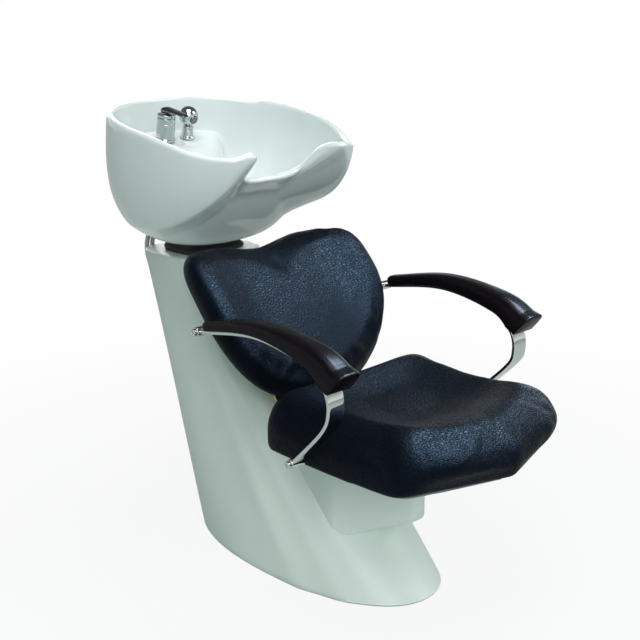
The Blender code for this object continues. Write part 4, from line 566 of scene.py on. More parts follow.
def bowl_skin(rim, slope, wall):
    """Wall from the rim to the oval foot along a superellipse, blunter to the rear. Under the edge
    of the wings, which sinks from the horns towards the rear, the wall runs to a plain narrower
    oval in place of the horned rim, and so leaves a scoop below the neck rest."""
    rim_x, rim_y, height, degrees = (rim[None, :, k] for k in range(4))
    turn = np.abs(degrees)
    power = WALL_POWER + WALL_BLUNTER * ease(turn / WALL_REAR)
    keep = np.cos(slope) ** (2 / power)
    fall = np.sin(slope) ** (2 / power)
    edge = SCOOP_LOW - SCOOP_RISE * np.exp(-np.maximum(turn - HORN_TURN, 0) / SCOOP_RUN)
    band = SCOOP_BAND - SCOOP_NARROWER * ease((turn - 25.0) / 20.0)
    past = soft_max((fall - edge) / band, 0.0, SCOOP_ROUND)
    scoop = np.sin(np.clip(past, 0, 1) * math.pi / 2) * fade(turn, *SCOOP_END)
    belly = oval_radius(degrees, BELLY_HALF - wall, BELLY_REACH - wall, REAR_REACH - wall)
    sine, cosine = np.sin(np.radians(degrees)), np.cos(np.radians(degrees))
    x = rim_x + (belly * sine - rim_x) * scoop
    y = rim_y + (BOWL_CENTRE - belly * cosine - rim_y) * scoop
    plain = BELLY_RIM + (height - BELLY_RIM) * ease((turn - 30.0) / 60.0)
    height = height + (plain - height) * scoop
    foot_x = (FOOT_HALF - wall) * sine
    foot_y = FOOT_Y - (FOOT_LENGTH - wall) * cosine
    return np.stack([foot_x + (x - foot_x) * keep, foot_y + (y - foot_y) * keep,
                     height - (height - BOWL_FOOT - wall) * fall], axis=-1)


def bowl_grid():
    """Rows from the waste hole out under the foot, up the outside, over the round lip and down
    the inside, past the deck that falls to the floor, to the hole again."""
    slope = np.linspace(0, math.pi / 2, 90)[:, None]
    skins = []
    for wall in (0.0, BOWL_WALL):
        half = bowl_rim(wall, 7)
        rim = np.vstack([half, half[-2:0:-1] * MIRRORED])
        skin = bowl_skin(rim, slope, wall)
        turn = np.radians(rim[:, 3])
        hole = np.stack([WASTE_HOLE * np.sin(turn), WASTE_Y - WASTE_HOLE * np.cos(turn),
                         np.full_like(turn, BOWL_FOOT + wall)], axis=-1)
        share = np.linspace(0, 1, 13)[1:, None, None]
        skins.append(np.concatenate([skin, skin[-1] + (hole - skin[-1]) * share]))
    outer, inner = skins[0][::-1], skins[1]
    rim_out, rim_in = outer[-1], inner[0]
    turn = np.linspace(0, math.pi, 13)[1:-1, None]
    lip = rim_out + (rim_in - rim_out) * ((1 - np.cos(turn)) / 2)[..., None]
    thick = np.minimum(np.linalg.norm(rim_in - rim_out, axis=-1), BOWL_WALL * LIP_FULL)
    lip[..., 2] += thick / 2 * np.sin(turn)
    edge = DECK_FRONT + DECK_CURVE * inner[..., 0] ** 2
    short = soft_max(edge - inner[..., 1], 0.0, DECK_EDGE_ROUND) - DECK_EASE
    deck = DECK_LEVEL - DECK_SLOPE * short - DECK_FALL * short ** 2
    inner[..., 2] = soft_max(inner[..., 2], deck, DECK_FOOT_ROUND)
    return tilted(np.concatenate([outer, lip, inner]))


class CHAIR_OT_bowl(bpy.types.Operator):
    """Makes the glazed bowl"""

    bl_idname = "chair.bowl"
    bl_label = "Glazed bowl"

    def execute(self, context):
        dress("bowl_glazed", bowl_grid(), "bowl_unit", "glazed_ceramic", "bowl", 60.0, ring=True)
        return {"FINISHED"}


# Base mouldings

BASE_EDGE, BASE_FOOT_LIFT, BASE_FOOT_DRAW = 0.006, 0.0005, 0.002
BASE_COLUMNS, WINDOW_COLUMNS = 170, 25
RIDGES, RIDGE_HEIGHT, RIDGE_WIDTH, RIDGE_DRIFT = (0.266, 0.336), 0.0032, 0.021, 0.082
PANEL_GAP, PANEL_INSET = 0.0012, 0.0005
KEEL_ROOT, KEEL_CHIN, KEEL_NOSE = -0.140, -0.296, -0.316
KEEL_HALF, KEEL_NARROWER, KEEL_CORNER = 0.112, 0.097, 0.010
KEEL_LOW, KEEL_RISE, KEEL_TIP = 0.117, 0.065, 0.036


def base_sides(z):
    """Front, rear, half width and outline power of the base by height."""
    t = np.clip(np.asarray(z, float) / BASE_HEIGHT, 0, 1)
    bend = 4 * t * (1 - t)
    return (BASE_FRONT + (BASE_TOP_FRONT - BASE_FRONT) * t + FRONT_HOLLOW * bend,
            BASE_REAR + (BASE_TOP_REAR - BASE_REAR) * t - REAR_HOLLOW * bend,
            BASE_HALF + (BASE_TOP_HALF - BASE_HALF) * t,
            BASE_POWER + (BASE_TOP_POWER - BASE_POWER) * t)


def base_window(z, across, inset=0.0):
    """Points of the rear wall at given X, on the superellipse of each height."""
    front, rear, half, power = (value[:, None] for value in base_sides(z))
    length = (rear - front) / 2 - inset
    share = np.clip(np.abs(across[None, :]) / (half - inset), 0, 1)
    y = (front + rear) / 2 + length * (1 - share ** power) ** (1 / power)
    x = np.broadcast_to(across[None, :], y.shape)
    return np.stack([x, y, np.broadcast_to(np.asarray(z)[:, None], y.shape)], axis=-1)


def base_rest(z, inset=0.0):
    """The rest of each outline, from the opening's one edge round the front to the other, with
    two soft ridges that run up each flank."""
    front, rear, half, power = (value[:, None] for value in base_sides(z))
    edge = np.arccos(np.clip(OPENING_HALF / (half - inset), 0, 1) ** (power / 2))
    share = np.linspace(0, 1, BASE_COLUMNS + 2)[None, 1:-1]
    angle = (math.pi - edge) + share * (math.pi + 2 * edge)
    near = np.minimum(share, 1 - share)
    drift = RIDGE_DRIFT * np.asarray(z)[:, None]
    inset = inset - RIDGE_HEIGHT * sum(hump(near, ridge - drift, RIDGE_WIDTH) for ridge in RIDGES)
    x, y = superellipse(half - inset, (rear - front) / 2 - inset, power, angle)
    y = y + (front + rear) / 2
    return np.stack([x, y, np.broadcast_to(np.asarray(z)[:, None], y.shape)], axis=-1)


def base_ring(z, inset=0.0):
    """Whole outlines of the base: the rear wall over the opening and then the rest."""
    across = np.linspace(OPENING_HALF, -OPENING_HALF, WINDOW_COLUMNS)
    return np.concatenate([base_window(z, across, inset), base_rest(z, inset)], axis=1)


def give_wall(obj):
    """Thickens a skin inwards to the wall of the mouldings."""
    wall = obj.modifiers.new("Wall", "SOLIDIFY")
    wall.thickness = SHELL_WALL
    wall.offset = -1.0
    return obj


def base_shell_mesh(material):
    """Outer skin on a grid whose first columns run straight up the rear opening, which is left
    out; the top is drawn over an eased edge and the wall is then given its thickness."""
    low = np.linspace(0.004, OPENING_FLOOR, 12)
    middle = np.linspace(OPENING_FLOOR, OPENING_TOP, 46)
    high = np.linspace(OPENING_TOP, BASE_HEIGHT - BASE_EDGE, 8)
    heights = np.concatenate([low, middle[1:], high[1:]])
    foot = base_ring(heights[:1], BASE_FOOT_DRAW)
    foot[..., 2] = BASE_FOOT_LIFT
    rows = [foot, base_ring(heights)]
    for turn in np.linspace(0, math.pi / 2, 5)[1:]:
        ring = base_ring(heights[-1:], BASE_EDGE * (1 - math.cos(turn)))
        ring[..., 2] += BASE_EDGE * math.sin(turn)
        rows.append(ring)
    lid = rows[-1]
    centre = lid.mean(axis=1, keepdims=True)
    for share in (0.75, 0.5):
        ring = lid.copy()
        ring[..., :2] = centre[..., :2] + (ring[..., :2] - centre[..., :2]) * share
        rows.append(ring)
    grid = np.concatenate(rows)
    faces = quads(*grid.shape[:2])
    row, col = np.divmod(np.arange(len(faces)), grid.shape[1])
    first, last = len(low), len(low) + len(middle) - 1
    open_cell = (row >= first) & (row < last) & (col < WINDOW_COLUMNS - 1)
    return give_wall(put_piece("base_moulding", grid, faces[~open_cell].tolist(), material, 50.0))


def panel_grid():
    """Rear cover on the base's own rear outline, a narrow gap smaller than its opening."""
    half = OPENING_HALF - PANEL_GAP
    heights = np.linspace(OPENING_FLOOR + PANEL_GAP, PANEL_TOP, 40)
    return base_window(heights, np.linspace(half, -half, WINDOW_COLUMNS), PANEL_INSET)


def console_grid():
    """Keel under the seat: U sections that narrow and rise from the column to a rounded nose."""
    root, chin, nose = KEEL_ROOT, KEEL_CHIN, KEEL_NOSE
    y = np.concatenate([np.linspace(0.06, root, 6, endpoint=False),
                        np.linspace(root, chin, 26, endpoint=False),
                        chin + (nose - chin) * np.sin(np.linspace(0, math.pi / 2, 12))])
    run = np.clip((root - y) / (root - nose), 0, 1)
    tip = np.clip((chin - y) / (chin - nose), 0, 1)
    half = (KEEL_HALF - KEEL_NARROWER * run) * np.sqrt(np.maximum(1 - tip ** 2, 0.0004))
    climb = np.clip((root - y) / (root - chin), 0, 1)
    low = KEEL_LOW + KEEL_RISE * climb + KEEL_TIP * tip ** 2
    top = SEAT_BOARD_FOOT - REST_GAP
    corner = np.minimum(KEEL_CORNER, half * 0.9)
    bend = np.linspace(0, math.pi / 2, 7)
    left_x = -half[:, None] + corner[:, None] * (1 - np.sin(bend))[None, ::-1]
    left_z = low[:, None] + corner[:, None] * (1 - np.cos(bend))[None, ::-1]
    x = np.concatenate([-half[:, None], left_x, -left_x[:, ::-1], half[:, None]], axis=1)
    z = np.concatenate([np.full((len(y), 1), top), left_z, left_z[:, ::-1],
                        np.full((len(y), 1), top)], axis=1)
    return np.stack([x, np.broadcast_to(y[:, None], x.shape), z], axis=-1)


class CHAIR_OT_base(bpy.types.Operator):
    """Makes the base moulding, its rear panel and the console under the seat"""

    bl_idname = "chair.base"
    bl_label = "Base mouldings"

    def execute(self, context):
        white = finish("gelcoat_white")
        settle(base_shell_mesh(white), "chair", "gelcoat_white", "base_shell")
        grid = panel_grid()
        panel = put_piece("rear_cover", grid, quads(*grid.shape[:2], wrap_cols=False).tolist(),
                          white, 50.0)
        soften(give_wall(panel), 0.0015)
        settle(panel, "chair", "gelcoat_white", "rear_panel")
        dress("seat_console_keel", console_grid(), "chair", "gelcoat_white", "seat_console", 30.0)
        return {"FINISHED"}


# Pads

PAD_CAP, PAD_VOXEL, PAD_FRAMES = 0.010, 0.006, 20
PAD_INSET = 0.006  # room that the cloth fills
CLOTH = {"quality": 6, "mass": 0.35, "tension_stiffness": 22.0, "compression_stiffness": 22.0,
         "shear_stiffness": 8.0, "bending_stiffness": 2.0, "use_pressure": True,
         "uniform_pressure_force": 4.0, "vertex_group_mass": "held", "pin_stiffness": 1.0}


def points_of(mesh):
    """A mesh's points as rows of X, Y and Z."""
    flat = np.empty(len(mesh.vertices) * 3)
    mesh.vertices.foreach_get("co", flat)
    return flat.reshape(-1, 3)


def stuffed(obj, still):
    """Fills a closed form with air: a voxel skin, cloth under pressure, and the move of each point
    held to the cap. Points where still is 1 keep their place."""
    skin = obj.modifiers.new("Skin", "REMESH")
    skin.mode = "VOXEL"
    skin.voxel_size = PAD_VOXEL
    view = bpy.context.evaluated_depsgraph_get()
    mesh = bpy.data.meshes.new_from_object(obj.evaluated_get(view))
    obj.modifiers.remove(skin)
    obj.data = mesh
    rest = points_of(mesh)
    held = obj.vertex_groups.new(name="held")
    weight = still(rest)
    for level in np.linspace(0.25, 1.0, 4):
        inside = np.nonzero((weight > level - 0.25) & (weight <= level))[0]
        held.add(inside.tolist(), float(level), "REPLACE")
    cloth = obj.modifiers.new("Cloth", "CLOTH")
    for key, value in CLOTH.items():
        setattr(cloth.settings, key, value)
    cloth.settings.effector_weights.gravity = 0.0
    cloth.point_cache.frame_start = 1
    cloth.point_cache.frame_end = PAD_FRAMES
    scene = bpy.context.scene
    for step in range(1, PAD_FRAMES + 1):
        scene.frame_set(step)
    view = bpy.context.evaluated_depsgraph_get()
    move = points_of(obj.evaluated_get(view).data) - rest
    obj.modifiers.remove(cloth)
    scene.frame_set(1)
    reach = np.linalg.norm(move, axis=1)[:, None]
    move *= np.minimum(1.0, PAD_CAP / np.maximum(reach, 1e-9))
    obj.data.vertices.foreach_set("co", (rest + move).ravel())
    ease_out = obj.modifiers.new("Ease", "SMOOTH")
    ease_out.factor = 0.5
    ease_out.iterations = 10
    finer = obj.modifiers.new("Finer", "SUBSURF")
    finer.levels = 1
    finer.render_levels = 1
    obj.data.shade_smooth()


SEAT_HALF, SEAT_REAR, SEAT_FRONT = 0.259, -0.054, -0.498
SEAT_PROW, SEAT_PROW_WIDTH = 0.086, 0.150
SEAT_LOBES, SEAT_LOBES_HALF = 0.092, 0.245
SEAT_HEIGHT, SEAT_TOE = 0.104, 0.008
SEAT_BOARD_INSETS = (0.030, 0.040)
# Bells on the upper face, each a rise, and an X and a Y with their spreads
SEAT_BELLS = ((-0.030, 0.0, 0.165, -0.295, 0.150), (0.008, 0.215, 0.080, -0.440, 0.090))
# Ridges across it, each a rise and a Y with its spread
SEAT_RIDGES = ((0.006, -0.470, 0.090), (0.010, -0.080, 0.070))
SEAT_POWER, SEAT_LOBES_POWER = 12.0, 2.3
# Inset of the sides, inset of the front and share of the height, ring by ring
SEAT_ROWS = ((0.014, 0.038, -0.160), (0.004, 0.024, -0.155), (0.001, 0.010, -0.095),
             (0.000, 0.004, 0.06), (0.000, 0.001, 0.24), (0.000, 0.000, 0.40),
             (0.003, 0.000, 0.55), (0.008, 0.004, 0.68), (0.016, 0.015, 0.81),
             (0.027, 0.034, 0.91), (0.042, 0.060, 0.975), (0.062, 0.090, 0.995),
             (0.088, 0.120, 0.975), (0.118, 0.150, 0.94), (0.148, 0.176, 0.915),
             (0.178, 0.200, 0.90))


def seat_outline(inset, front_inset, full, angle):
    """Plan of the seat: a squarish superellipse with a prow added in front, a narrow bell at the
    foot that spreads over the front corners by the share full; and how far ahead of the middle
    each point is."""
    front, rear = SEAT_FRONT + front_inset, SEAT_REAR - 0.8 * inset
    length = (rear - front) / 2
    x, y = superellipse(SEAT_HALF - inset, length, SEAT_POWER, angle)
    ahead = np.clip(-y / length, 0, 1)
    bell = SEAT_PROW * hump(x, 0, SEAT_PROW_WIDTH)
    lobes = SEAT_LOBES * np.maximum(1 - (np.abs(x) / SEAT_LOBES_HALF) ** SEAT_LOBES_POWER, 0)
    prow = (bell + (lobes - bell) * full) * (1 - front_inset / 0.26)
    return x, y - prow * ahead ** 2 + (front + rear) / 2, ahead


def seat_top(x, y):
    """Rise of the upper face: bells for the dished middle and the raised front corners, and ridges
    along the front and the rear."""
    total = 0.0
    for rise, x_middle, x_spread, y_middle, y_spread in SEAT_BELLS:
        total = total + rise * hump(np.abs(x), x_middle, x_spread) * hump(y, y_middle, y_spread)
    for rise, middle, spread in SEAT_RIDGES:
        total = total + rise * hump(y, middle, spread)
    return total


def seat_form():
    """Rings of the seat pad: from under its board, out round the foot, up the full sides, over
    a broad front roll and across the dished top."""
    angle = np.linspace(0, 2 * math.pi, 160, endpoint=False)
    rings = []
    for inset, front_inset, share in SEAT_ROWS:
        full = ease((share - 0.04) / 0.56)
        x, y, ahead = seat_outline(inset + PAD_INSET, front_inset + PAD_INSET, full, angle)
        toe = SEAT_TOE * ahead ** 2 * fade(share, -0.10, 0.3)
        foot = SEAT_BOARD_TOP + 2 * REST_GAP + toe
        lift = seat_top(x, y) * ease((share - 0.45) / 0.5)
        rings.append(np.stack([x, y, foot + share * SEAT_HEIGHT + lift], axis=-1))
    return np.stack(rings)


class CHAIR_OT_seat(bpy.types.Operator):
    """Makes the seat pad and its board"""

    bl_idname = "chair.seat"
    bl_label = "Seat"

    def execute(self, context):
        pad = loft("seat_pad", seat_form(), finish("navy_leather"), 80.0)
        stuffed(pad, lambda p: fade(p[:, 2], SEAT_BOARD_TOP - 0.004, SEAT_BOARD_TOP + 0.03))
        settle(pad, "chair", "navy_leather", "seat_cushion")
        angle = np.linspace(0, 2 * math.pi, 160, endpoint=False)
        x, y = seat_outline(*SEAT_BOARD_INSETS, 0.0, angle)[:2]
        rings = [np.stack([x, y, 0 * x + z], axis=-1) for z in (SEAT_BOARD_FOOT, SEAT_BOARD_TOP)]
        board = soften(loft("seat_base_board", np.stack(rings), finish("painted_board"), 40.0),
                       0.002)
        settle(board, "chair", "painted_board", "seat_board")
        return {"FINISHED"}


BACK_HALF, BACK_HEIGHT, BACK_WIDEST = 0.270, 0.425, 0.270
BACK_FLAT, BACK_WRAP = 0.100, 0.056
BACK_DEPTH, BACK_BOARD = 0.046, 0.012
BACK_UPPER_POWER, BACK_LOWER_POWER = 3.8, 2.3
BACK_DIP, BACK_DIP_WIDTH = 0.030, 0.075
BACK_SWELL, BACK_SWELL_HEIGHT, BACK_SWELL_SPREAD = 0.018, 0.215, 0.150
BACK_TUCK = 0.013
BACK_CORE, BACK_BOARD_INSET = 0.014, 0.030


def leaned(points):
    """Points of the back's frame, X across, Y to the rear and Z up the pad, leaned back."""
    c, s = math.cos(BACK_LEAN), math.sin(BACK_LEAN)
    out = np.empty_like(points)
    out[..., 0] = points[..., 0]
    out[..., 1] = BACK_FOOT_Y + points[..., 1] * c + points[..., 2] * s
    out[..., 2] = BACK_FOOT_Z - points[..., 1] * s + points[..., 2] * c
    return out


def back_outline(inset, scale, angle):
    """Face of the back: a superellipse, fuller above, with a bell-shaped dip in its head."""
    upper, lower = BACK_HEIGHT - BACK_WIDEST - inset, BACK_WIDEST + BACK_TUCK - inset
    c, s = np.cos(angle), np.sin(angle)
    power = np.where(s > 0, BACK_UPPER_POWER, BACK_LOWER_POWER)
    x = (BACK_HALF - inset) * np.sign(c) * np.abs(c) ** (2 / power)
    z = np.where(s > 0, upper, lower) * np.sign(s) * np.abs(s) ** (2 / power)
    ahead = np.clip(z / upper, 0, 1)
    z = z - BACK_DIP * hump(x, 0, BACK_DIP_WIDTH) * ahead ** 2
    return x * scale, BACK_WIDEST + z * scale


def back_wrap(x):
    """The sides come forward by the square of their distance past the flat middle."""
    past = np.maximum(np.abs(x) - BACK_FLAT, 0)
    return -BACK_WRAP * (past / (BACK_HALF - BACK_FLAT)) ** 2


def back_rings(rows):
    """Rings of inset, scale and depth, swelled in the middle of the pad's face."""
    angle = np.linspace(0, 2 * math.pi, 140, endpoint=False)
    rings = []
    for inset, scale, depth in rows:
        x, z = back_outline(inset, scale, angle)
        swell = BACK_SWELL * hump(z, BACK_SWELL_HEIGHT, BACK_SWELL_SPREAD)
        swell = swell * fade(depth, -0.008, 0.010)
        rings.append(np.stack([x, depth - swell + back_wrap(x), z], axis=-1))
    return leaned(np.stack(rings))


class CHAIR_OT_back(bpy.types.Operator):
    """Makes the back pad and its board"""

    bl_idname = "chair.back"
    bl_label = "Back"

    def execute(self, context):
        rows = [(BACK_CORE, scale, -0.010) for scale in (0.12, 0.26, 0.40, 0.55)]
        rows += [(BACK_CORE, 0.73, -0.0095), (0.047, 1.0, -0.0085), (0.024, 1.0, -0.0055)]
        rows += [(inset + PAD_INSET, 1.0, depth) for inset, depth in (
            (0.010, -0.001), (0.004, 0.006), (0.001, 0.015), (0.0, 0.025), (0.001, 0.036),
            (0.004, 0.046), (0.009, 0.053), (0.020, 0.0565), (0.036, 0.0565))]
        rows += [(BACK_CORE, scale, 0.0545) for scale in (0.72, 0.60, 0.39, 0.15)]
        pad = loft("back_pad", back_rings(rows), finish("navy_leather"), 80.0)
        c, s = math.cos(BACK_LEAN), math.sin(BACK_LEAN)

        def still(points):
            depth = (points[:, 1] - BACK_FOOT_Y) * c - (points[:, 2] - BACK_FOOT_Z) * s
            depth = depth - back_wrap(points[:, 0])
            return ease((depth - 0.026) / 0.022)

        stuffed(pad, still)
        settle(pad, "chair", "navy_leather", "back_cushion")
        front = BACK_DEPTH + 2 * REST_GAP
        rear = front + BACK_BOARD
        rows = [(BACK_BOARD_INSET, scale, front) for scale in (0.15, 0.39, 0.60, 0.82, 1.0)]
        rows += [(BACK_BOARD_INSET, scale, rear) for scale in (1.0, 0.82, 0.60, 0.39, 0.15)]
        board = soften(loft("back_shell_board", back_rings(rows), finish("painted_board"), 40.0),
                       0.002)
        settle(board, "chair", "painted_board", "back_board")
        return {"FINISHED"}


# Armrests

ARM_BAR_HALF, ARM_PAD_SEAT = 0.0041, 0.0046
ARM_PAD_START, ARM_PAD_STOP, ARM_STEPS = 5, 127, 241
ARM_PAD_LEAN = math.radians(42.0)
ARM_PAD_NOSE = 0.014
ARM_PAD_NARROW, ARM_PAD_WIDER = 0.036, 0.036
ARM_PAD_LOW, ARM_PAD_HIGHER = 0.021, 0.037
ARM_WIDTHS = ((0, 0.5, 0.75, 1), (0.024, 0.044, 0.044, 0.032))  # shares of the path and widths
BUSH_RADIUS, BUSH_HALF = 0.011, 0.018
BOLT_STEM, BOLT_HEAD, BOLT_SOCKET = 0.005, 0.0085, 0.0045
BOLT_HEIGHT, BOLT_DEEP = 0.007, 0.003
ARM_ENDS = (("rear", ARM_KNOTS[0], ARM_X), ("front", ARM_KNOTS[-1], ARM_X - ARM_FOOT_IN))


def even_arch(power, count):
    """Upper half of a superellipse of unit half axes, in even steps along its length."""
    x, z = superellipse(1.0, 1.0, power, np.linspace(0, math.pi, 2001))
    run = np.concatenate([[0.0], np.cumsum(np.hypot(np.diff(x), np.diff(z)))])
    place = np.linspace(0, run[-1], count)
    return np.interp(place, run, x), np.interp(place, run, z)


def arm_path(count):
    """Middle line of the bar and its unit normals, which point up on the upper run."""
    path = smooth_path(ARM_KNOTS, count)
    along = np.gradient(path, axis=0)
    along /= np.linalg.norm(along, axis=1)[:, None]
    return path, np.column_stack([along[:, 1], -along[:, 0]])


def arm_bar_grid(side):
    """A flat bar carried along the path: a superellipse section of the bar's width and
    thickness."""
    path, lift = arm_path(150)
    share = np.linspace(0, 1, len(path))
    width = np.interp(share, *ARM_WIDTHS)
    middle = side * (ARM_X - ARM_FOOT_IN * ease((share - 0.75) / 0.25))
    angle = np.linspace(0, 2 * math.pi, 32, endpoint=False)
    across, up = superellipse(1.0, 1.0, 7.0, angle)
    x = middle[:, None] + across[None] * width[:, None] / 2
    y = path[:, :1] + lift[:, :1] * up[None] * ARM_BAR_HALF
    z = path[:, 1:] + lift[:, 1:] * up[None] * ARM_BAR_HALF
    return np.stack([x, y, z], axis=-1)


def arm_pad_grid(side):
    """A tapered pad on the upper run: a flat foot, upright sides and a domed top, thin at the
    rear and full at a cut nose."""
    run = slice(ARM_PAD_START, ARM_PAD_STOP)
    path, lift = (part[run] for part in arm_path(ARM_STEPS))
    share = np.linspace(0, 1, len(path))
    width = ARM_PAD_NARROW + ARM_PAD_WIDER * share
    height = ARM_PAD_LOW + ARM_PAD_HIGHER * share ** 1.3
    ends = np.minimum(share / 0.020, (1 - share) / 0.026)
    swell = 0.86 + 0.14 * np.sqrt(1 - (1 - np.clip(ends, 0, 1)) ** 2)
    lean = np.minimum(np.arctan2(-lift[:, 0], lift[:, 1]), ARM_PAD_LEAN)
    stand = np.column_stack([-np.sin(lean), np.cos(lean)])
    section_x, section_z = even_arch(3.7, 56)
    x = side * ARM_X + section_x[None] * (width * swell / 2)[:, None]
    rise = section_z[None] * (height * swell)[:, None]
    base = path + lift * ARM_PAD_SEAT
    nose = -ARM_PAD_NOSE * ease((share - 0.90) / 0.10)
    y = base[:, :1] + stand[:, :1] * rise + nose[:, None]
    z = base[:, 1:] + stand[:, 1:] * rise
    return np.stack([x, y, z], axis=-1)


class CHAIR_OT_arms(bpy.types.Operator):
    """Makes the chromed armrest bars, their pads and bolts"""

    bl_idname = "chair.arms"
    bl_label = "Armrests"

    def execute(self, context):
        bush = rounded([(AXIS, -BUSH_HALF), (BUSH_RADIUS, -BUSH_HALF), (BUSH_RADIUS, BUSH_HALF),
                        (AXIS, BUSH_HALF)], 0.002)
        for side, hand in ((-1, "right"), (1, "left")):
            grids = [arm_bar_grid(side)]
            for _, (y, z), x in ARM_ENDS:
                grids.append(revolve(bush, (side * x, y, z), (side, 0, 0), 40))
            bar = bundle(f"arm_bar_{hand}_chromed", grids, finish("chrome"), 35.0)
            settle(bar, "chair", "chrome", f"arm_bar_{hand}")
            dress(f"arm_pad_{hand}_polished", arm_pad_grid(side), "chair", "arm_pad_polish",
                  f"arm_pad_{hand}", 42.0)
            for end, (y, z), x in ARM_ENDS:
                start = x + BUSH_HALF + REST_GAP
                head, socket = start + BOLT_HEIGHT, start + BOLT_DEEP
                profile = rounded([(BOLT_STEM, x - 0.03), (BOLT_STEM, start), (BOLT_HEAD, start),
                                   (BOLT_HEAD, head), (BOLT_SOCKET, head), (0.0040, socket),
                                   (AXIS, socket)], 0.0012)
                dress(f"arm_bolt_{end}_{hand}_socket",
                      revolve(profile, (0, y, z), (side, 0, 0), 32), "chair", "chrome",
                      f"arm_bolt_{end}_{hand}", 35.0)
        return {"FINISHED"}


# Taps

COLUMN_RADIUS, COLUMN_FOOT, COLUMN_HEIGHT = 0.0232, 0.0255, 0.060
TAIL_DEPTH = 0.04  # of a tap's thread under the deck
CAP_GAP, CAP_HEIGHT = 0.0008, 0.0092
LEVER_AXIS, LEVER_HUB, LEVER_REACH, LEVER_WIDTH = 0.019, 0.0082, 0.082, 0.034
PADDLE_HALF = 0.0035
GUIDE_RADIUS, GUIDE_HEIGHT = 0.0185, 0.024
BALL_RADIUS, BALL_HEIGHT, NOZZLE_PITCH = 0.0250, 0.034, math.radians(102.0)


def tap_place(x, height):
    """World place of a point over the tap deck."""
    return tilted(np.array([x, TAP_Y, height]))


